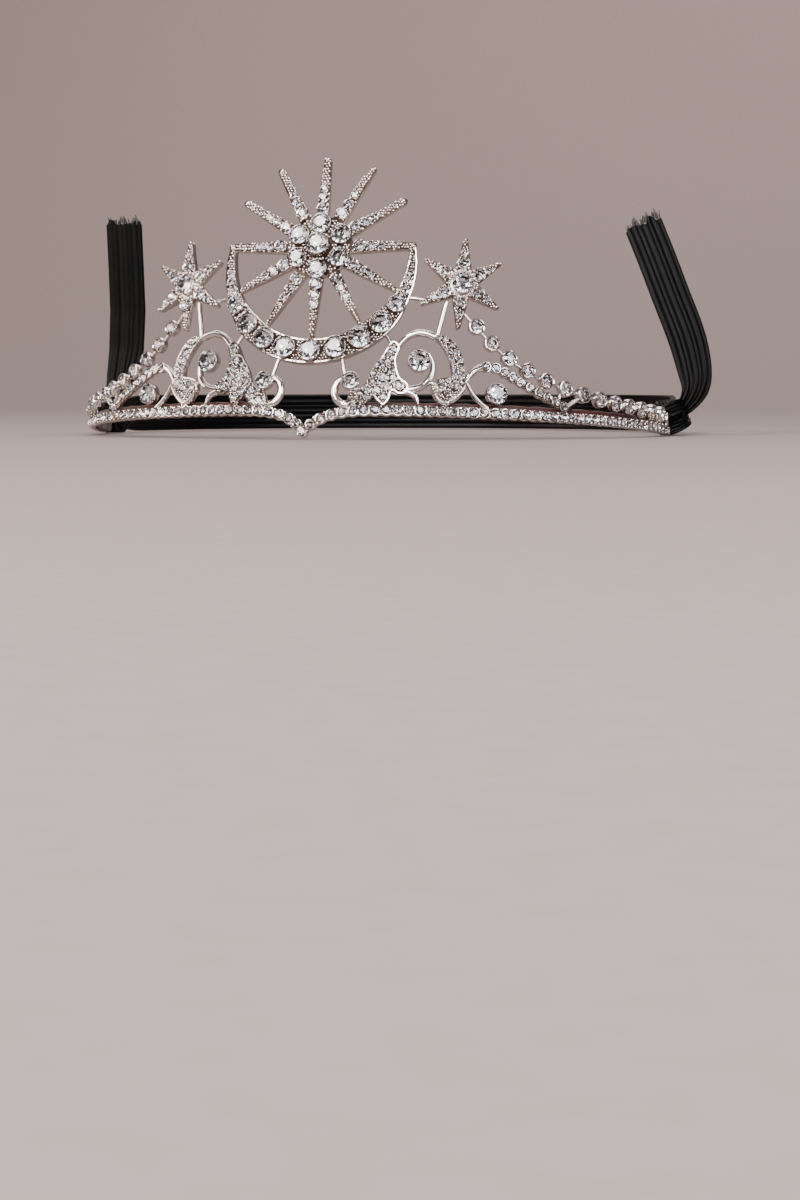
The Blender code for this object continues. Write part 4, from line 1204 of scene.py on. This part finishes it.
# %% Plates, and the mirror for the left half
def tray_plate(outline, heart, back, front, rim=0.3, sunk=0.28):
    """A plate of a smooth closed outline: side, bevel, rim and floor rings, then a fan to the
    heart, a point that every part of the outline can see."""
    edge = curve(np.asarray(outline, float), 0.35, closed=True)
    area = np.sum(edge[:, 0] * np.roll(edge[:, 1], -1) - np.roll(edge[:, 0], -1) * edge[:, 1])
    inward = sideways(edge, closed=True) * np.sign(area)
    steps = ((0.0, back, 0), (0.0, front - 0.14, 0), (0.1, front, 0), (rim, front, 2),
             (rim + 0.08, front - sunk, 2))
    rings = np.stack([np.concatenate([edge + inward * inset, np.full((len(edge), 1), n)], 1)
                      for inset, n, _ in steps])
    count = rings.shape[1]
    flat = np.vstack([rings.reshape(-1, 3), [(*heart, back), (*heart, front - sunk)]])
    around = grid_faces(len(steps), count)
    finishes = np.repeat([step[2] for step in steps[:-1]], count)
    j = np.arange(count)
    following, last = (j + 1) % count, (len(steps) - 1) * count
    low = np.stack([following, j, np.full(count, len(flat) - 2)], 1)
    high = np.stack([j + last, following + last, np.full(count, len(flat) - 1)], 1)
    return bend(flat[:, 0], flat[:, 1], flat[:, 2]), [
        (around, finishes, None), (low, np.full(count, 1), None), (high, np.full(count, 2), None)]


def mirrored(rows, side):
    """Rows with u times side, so that one table serves both halves."""
    rows = np.array(rows, float)
    rows[:, 0] *= side
    return rows


print("the leaf's edge has", len(curve(LEAF, 0.35, closed=True)), "points")

# %% Stones of the right half, as u, h and radius
LEAF_STONES = ((20.8, 17.7, 1.15), (19.9, 15.4, 1.15), (18.4, 13.4, 1.15), (20.6, 12.2, 1.15),
               (17.0, 11.2, 1.0), (18.9, 10.1, 1.0), (21.4, 9.9, 1.15), (16.2, 9.0, 1.0),
               (18.3, 8.5, 0.52), (22.9, 7.9, 1.15), (20.0, 7.6, 1.15), (15.2, 6.9, 1.15),
               (17.7, 6.6, 1.15), (13.1, 5.8, 1.0), (15.0, 4.9, 0.68), (19.3, 4.8, 1.0),
               (11.9, 3.7, 1.0), (13.8, 3.7, 0.68))
BULB_STONES = ((33.3, 7.9, 1.5), (37.3, 8.8, 1.45), (35.2, 9.6, 0.55), (35.3, 6.3, 0.7))
ARM_STONES = ((32.3, 21.0, 0.6), (33.9, 20.4, 0.75), (33.8, 18.9, 0.6), (35.6, 19.0, 0.85),
              (35.1, 17.3, 0.7), (36.8, 17.0, 0.85), (36.1, 15.3, 0.75), (37.9, 15.0, 0.8),
              (36.7, 13.3, 0.8), (38.4, 12.9, 0.75), (37.0, 11.4, 0.85), (38.6, 11.0, 0.65))
ARCH_STONES = tuple((u, h, 1.1) for u, h in (
    (45.1, 13.7), (47.8, 13.45), (50.3, 12.4), (52.75, 11.2), (55.2, 10.0), (57.8, 8.8),
    (60.4, 7.65), (63.0, 6.6), (65.6, 5.5), (68.2, 4.45)))

print("stones on each side:", len(LEAF_STONES + BULB_STONES + ARM_STONES + ARCH_STONES))

# %% Scrolls on both sides
PAVED_N = 1.42
for side, tag in ((1, "right"), (-1, "left")):
    shells = [bar(rounded(curve(mirrored(rows, side))), WIRE)
              for rows in (CURL, ARC, SPIRAL, THORN, LOOP, LOOP_ARM)]
    shells += [bar(rounded(curve(mirrored(LIP, side))), half_round(0.3, 2.0)),
               bar(rounded(curve(mirrored(ARM, side))),
                   tray(0.1, 1.7, bevel=0.2, rim=0.26, sunk=0.26)),
               bar(rounded(curve(mirrored(ARCH, side))), slab(0.1, 1.0))]
    shells += [bar(curve(mirrored(((u0, h0, half), (u1, h1, half)), side)), THIN_WIRE)
               for u0, h0, u1, h1, half in LINKS]
    shells += [tray_plate(mirrored(LEAF, side), (side * 17.9, 8.0), 0.15, 1.7),
               tray_plate(mirrored(BULB, side), (side * 35.5, 7.5), 0.2, 1.65)]
    leaf, bulb, arm, arch = (mirrored(table, side) for table in (
        LEAF_STONES, BULB_STONES, ARM_STONES, ARCH_STONES))
    outlines = ((curve(mirrored(LEAF, side), 0.5, True), leaf),
                (curve(mirrored(BULB, side), 0.5, True), bulb),
                (edges_of(curve(mirrored(ARM, side))), arm))
    shells += [grains(outline, stones, 1.6, radius=0.28, pitch=0.7, edge=0.3)
               for outline, stones in outlines]
    paved = np.vstack([leaf, bulb, arm])
    shells += [prongs(paved, PAVED_N, count=4), collars(paved, PAVED_N),
               spread(COLLET, stand(arch[:, 0], arch[:, 1]), 0.97)]
    # a row of eight beads leads from the arch to the chain
    row = np.linspace(0, 1, 8)
    shells.append(spread(BEAD, stand(side * (68.8 + 4.4 * row), 4.2 + 2.7 * row, 1.3), 0.34))
    metalwork(f"scrolls_{tag}", shells)
    stones_of(f"scroll_stones_{tag}", [set_chips(paved, PAVED_N), set_chips(arch, 1.0)])

# %% [markdown]
# ## The chain and the end loops
# Thirteen plain bezels fall from each star to the end of the band, an even step apart, with short
# wires between them. The band ends in a rounded wire loop that takes the elastic.

# %% Chain of bezels and end loops
BEZELS, BEZEL_STEP = 13, 6.15
BEZEL = turned([(0, 0.15), (1.95, 0.15), (2.1, 0.4), (2.1, 1.95), (2.03, 2.12), (1.88, 2.16),
                (1.74, 2.08), (1.68, 1.8), (0.3, 0.75), (0, 0.7)], 24)


def chain_height(u):
    """h of the chain's wire: 5 + 19 exp(-(u - 42) / 17)."""
    return 5.0 + 19.0 * np.exp(-(u - 42.0) / 17.0)


fall = np.linspace(42.0, 125.0, 9000)
run = np.concatenate([[0], np.cumsum(np.hypot(np.diff(fall), np.diff(chain_height(fall))))])
chain_u = np.interp(BEZEL_STEP * np.arange(BEZELS), run, fall)
chain_h = chain_height(chain_u)

# the end loop is a rounded square, u^4 + h^4 = 1, of round wire
loop_angle = 2 * np.pi * np.arange(64) / 64
c, s = np.cos(loop_angle), np.sin(loop_angle)
squared = (c**4 + s**4) ** -0.25
angle = np.linspace(0, 2 * np.pi, 12, endpoint=False)
round_wire = [(math.cos(a), 0, 0.9 + 0.6 * math.sin(a), 0) for a in angle]
for side, tag in ((1, "right"), (-1, "left")):
    middles = np.stack([side * chain_u, chain_h, np.full(BEZELS, 0.42)], 1)
    loop_rows = np.stack([side * (121.4 + 3.3 * squared * c), 3.25 + 2.45 * squared * s,
                          np.full(64, 0.6)], 1)
    metalwork(f"chain_{tag}", [bar(curve(middles, 0.8), half_round(0.45, 1.25, 7)),
                               spread(BEZEL, stand(middles[:, 0], middles[:, 1])),
                               bar(loop_rows, round_wire, closed=True)])
    spots = tipped(stand(middles[:, 0], middles[:, 1], 1.92, 0.7 * np.arange(BEZELS)), 4.0)
    stones_of(f"chain_stones_{tag}", [spread(BRILLIANT, spots, 1.66)])

# %% [markdown]
# ## The setting for the picture
# A pale sheet that runs up round the tiara in one curve, as in a photographer's studio, so that
# every view has the same plain ground. Soft boxes light it: face_box high in front for the face of
# the metal, one on each side, stone_box and camera_box for the crowns of the stones, and top_box
# for the table. Small sparks give single facets their flash, and four wall boxes light the slope.

# %% Sweep of paper
# a rounded rectangle of floor, then a slope that steepens to 60 degrees, a circle of 1.6 m
FLOOR_HALF, FLOOR_MIDDLE = np.array((1.3, 1.35)), np.array((0.0, -0.55))
CORNER, SLOPE, PAPER_Z, PAPER_SIDES = 0.3, 1.6, -0.0002, 96
around = 2 * np.pi * (np.arange(PAPER_SIDES) + 0.5) / PAPER_SIDES
outward = np.stack([np.cos(around), np.sin(around)], 1)
edge = FLOOR_MIDDLE + (FLOOR_HALF - CORNER) * np.sign(outward) + CORNER * outward
rows = [np.insert(FLOOR_MIDDLE + (edge - FLOOR_MIDDLE) * share, 2, PAPER_Z, axis=1)
        for share in (0.02, 0.5, 1.0)]
rows += [np.insert(edge + SLOPE * math.sin(t) * outward, 2, SLOPE * (1 - math.cos(t)) + PAPER_Z,
                   axis=1)
         for t in np.radians(np.linspace(2.5, 60, 24))]
paper_grid = np.stack(rows)
paper_faces = grid_faces(len(rows), PAPER_SIDES).tolist() + [list(range(PAPER_SIDES - 1, -1, -1))]
paper_mesh = bpy.data.meshes.new("paper_sweep")
paper_mesh.from_pydata(paper_grid.reshape(-1, 3), [], paper_faces)
paper_mesh.polygons.foreach_set("use_smooth", np.full(len(paper_faces), True))
PAPER, paper_tree, paper_shader = new_material("matt background paper", {"Roughness": 0.85})
place = add_node(paper_tree, "ShaderNodeTexCoord").outputs["Object"]
fibre = add_node(paper_tree, "ShaderNodeTexNoise", values={"Scale": 1 / (2.5 * MM), "Detail": 4.0},
                 links={"Vector": place})
paper_tint = add_node(paper_tree, "ShaderNodeValToRGB", links={"Fac": fibre.outputs["Fac"]})
set_ramp(paper_tint, [(0.3, "#756865"), (0.7, "#796c69")])
paper_tree.links.new(paper_tint.outputs["Color"], paper_shader.inputs["Base Color"])
paper_mesh.materials.append(PAPER)
paper = bpy.data.objects.new("paper_sweep", paper_mesh)
bpy.context.scene.collection.objects.link(paper)
print("paper:", len(paper_faces), "faces")

# %% Lights
# name, place and size in metres, power in watts, colour
LIGHTS = (
    ("face_box", (-0.35, -0.8, 0.68), (0.32, 0.32), 12.0, "#fffaf5"),
    ("left_box", (-1.0, -0.25, 0.4), (0.3, 0.6), 7.0, "#ffe6d8"),
    ("right_box", (0.95, -0.5, 0.5), (0.34, 0.5), 8.0, "#f4f6ff"),
    ("stone_box", (0.32, -0.95, 0.7), (0.24, 0.24), 4.5, "#fbfbff"),
    ("top_box", (0.0, 0.15, 1.1), (0.9, 0.6), 5.0, "#ffffff"),
    ("camera_box", (0.3, -1.4, 0.5), (0.9, 0.5), 15.0, "#fbfaff"),
    ("spark_1", (0.28, -0.9, 0.55), (0.05, 0.05), 2.4, "#ffffff"),
    ("spark_2", (-0.6, -0.8, 0.3), (0.05, 0.05), 2.4, "#fff1dd"),
    ("spark_3", (0.05, -0.7, 1.0), (0.06, 0.06), 2.8, "#ffffff"),
    ("spark_4", (0.62, -0.75, 0.8), (0.05, 0.05), 2.4, "#f3f6ff"),
    ("spark_5", (-0.2, -1.2, 0.32), (0.05, 0.05), 2.4, "#ffffff"),
    ("wall_box_back", (0.0, 1.3, 1.4), (2.0, 0.5), 34.0, "#fff3ee"),
    ("wall_box_left", (-1.8, -0.55, 1.4), (0.5, 2.0), 18.0, "#fff3ee"),
    ("wall_box_right", (1.8, -0.55, 1.4), (0.5, 2.0), 18.0, "#fff3ee"),
    ("wall_box_front", (0.0, -2.4, 1.4), (2.0, 0.5), 18.0, "#fff3ee"),
)
TIARA_MIDDLE = Vector((0, 0, 0.04))
for name, spot, size, power, colour in LIGHTS:
    light = bpy.data.lights.new(name, "AREA")
    light.shape = "RECTANGLE"
    light.size, light.size_y = size
    light.energy = power
    light.color = linear(colour)[:3]
    lamp = bpy.data.objects.new(name, light)
    lamp.location = spot
    # a wall light hangs above the floor's edge and shines on the slope beyond it
    beyond = Vector((spot[0] * 1.33, 1.9 if spot[1] > 0 else spot[1] * 1.25, 0))
    aim = beyond if name.startswith("wall_box") else TIARA_MIDDLE
    lamp.rotation_euler = (aim - Vector(spot)).to_track_quat("-Z", "Y").to_euler()
    bpy.context.scene.collection.objects.link(lamp)
# a dim, even light from the rest of the room
room = bpy.data.worlds.new("studio")
room.use_nodes = True
backdrop = room.node_tree.nodes["Background"]
backdrop.inputs["Color"].default_value = linear("#a39c99")
backdrop.inputs["Strength"].default_value = 0.45
bpy.context.scene.world = room
print("lights:", len(LIGHTS))
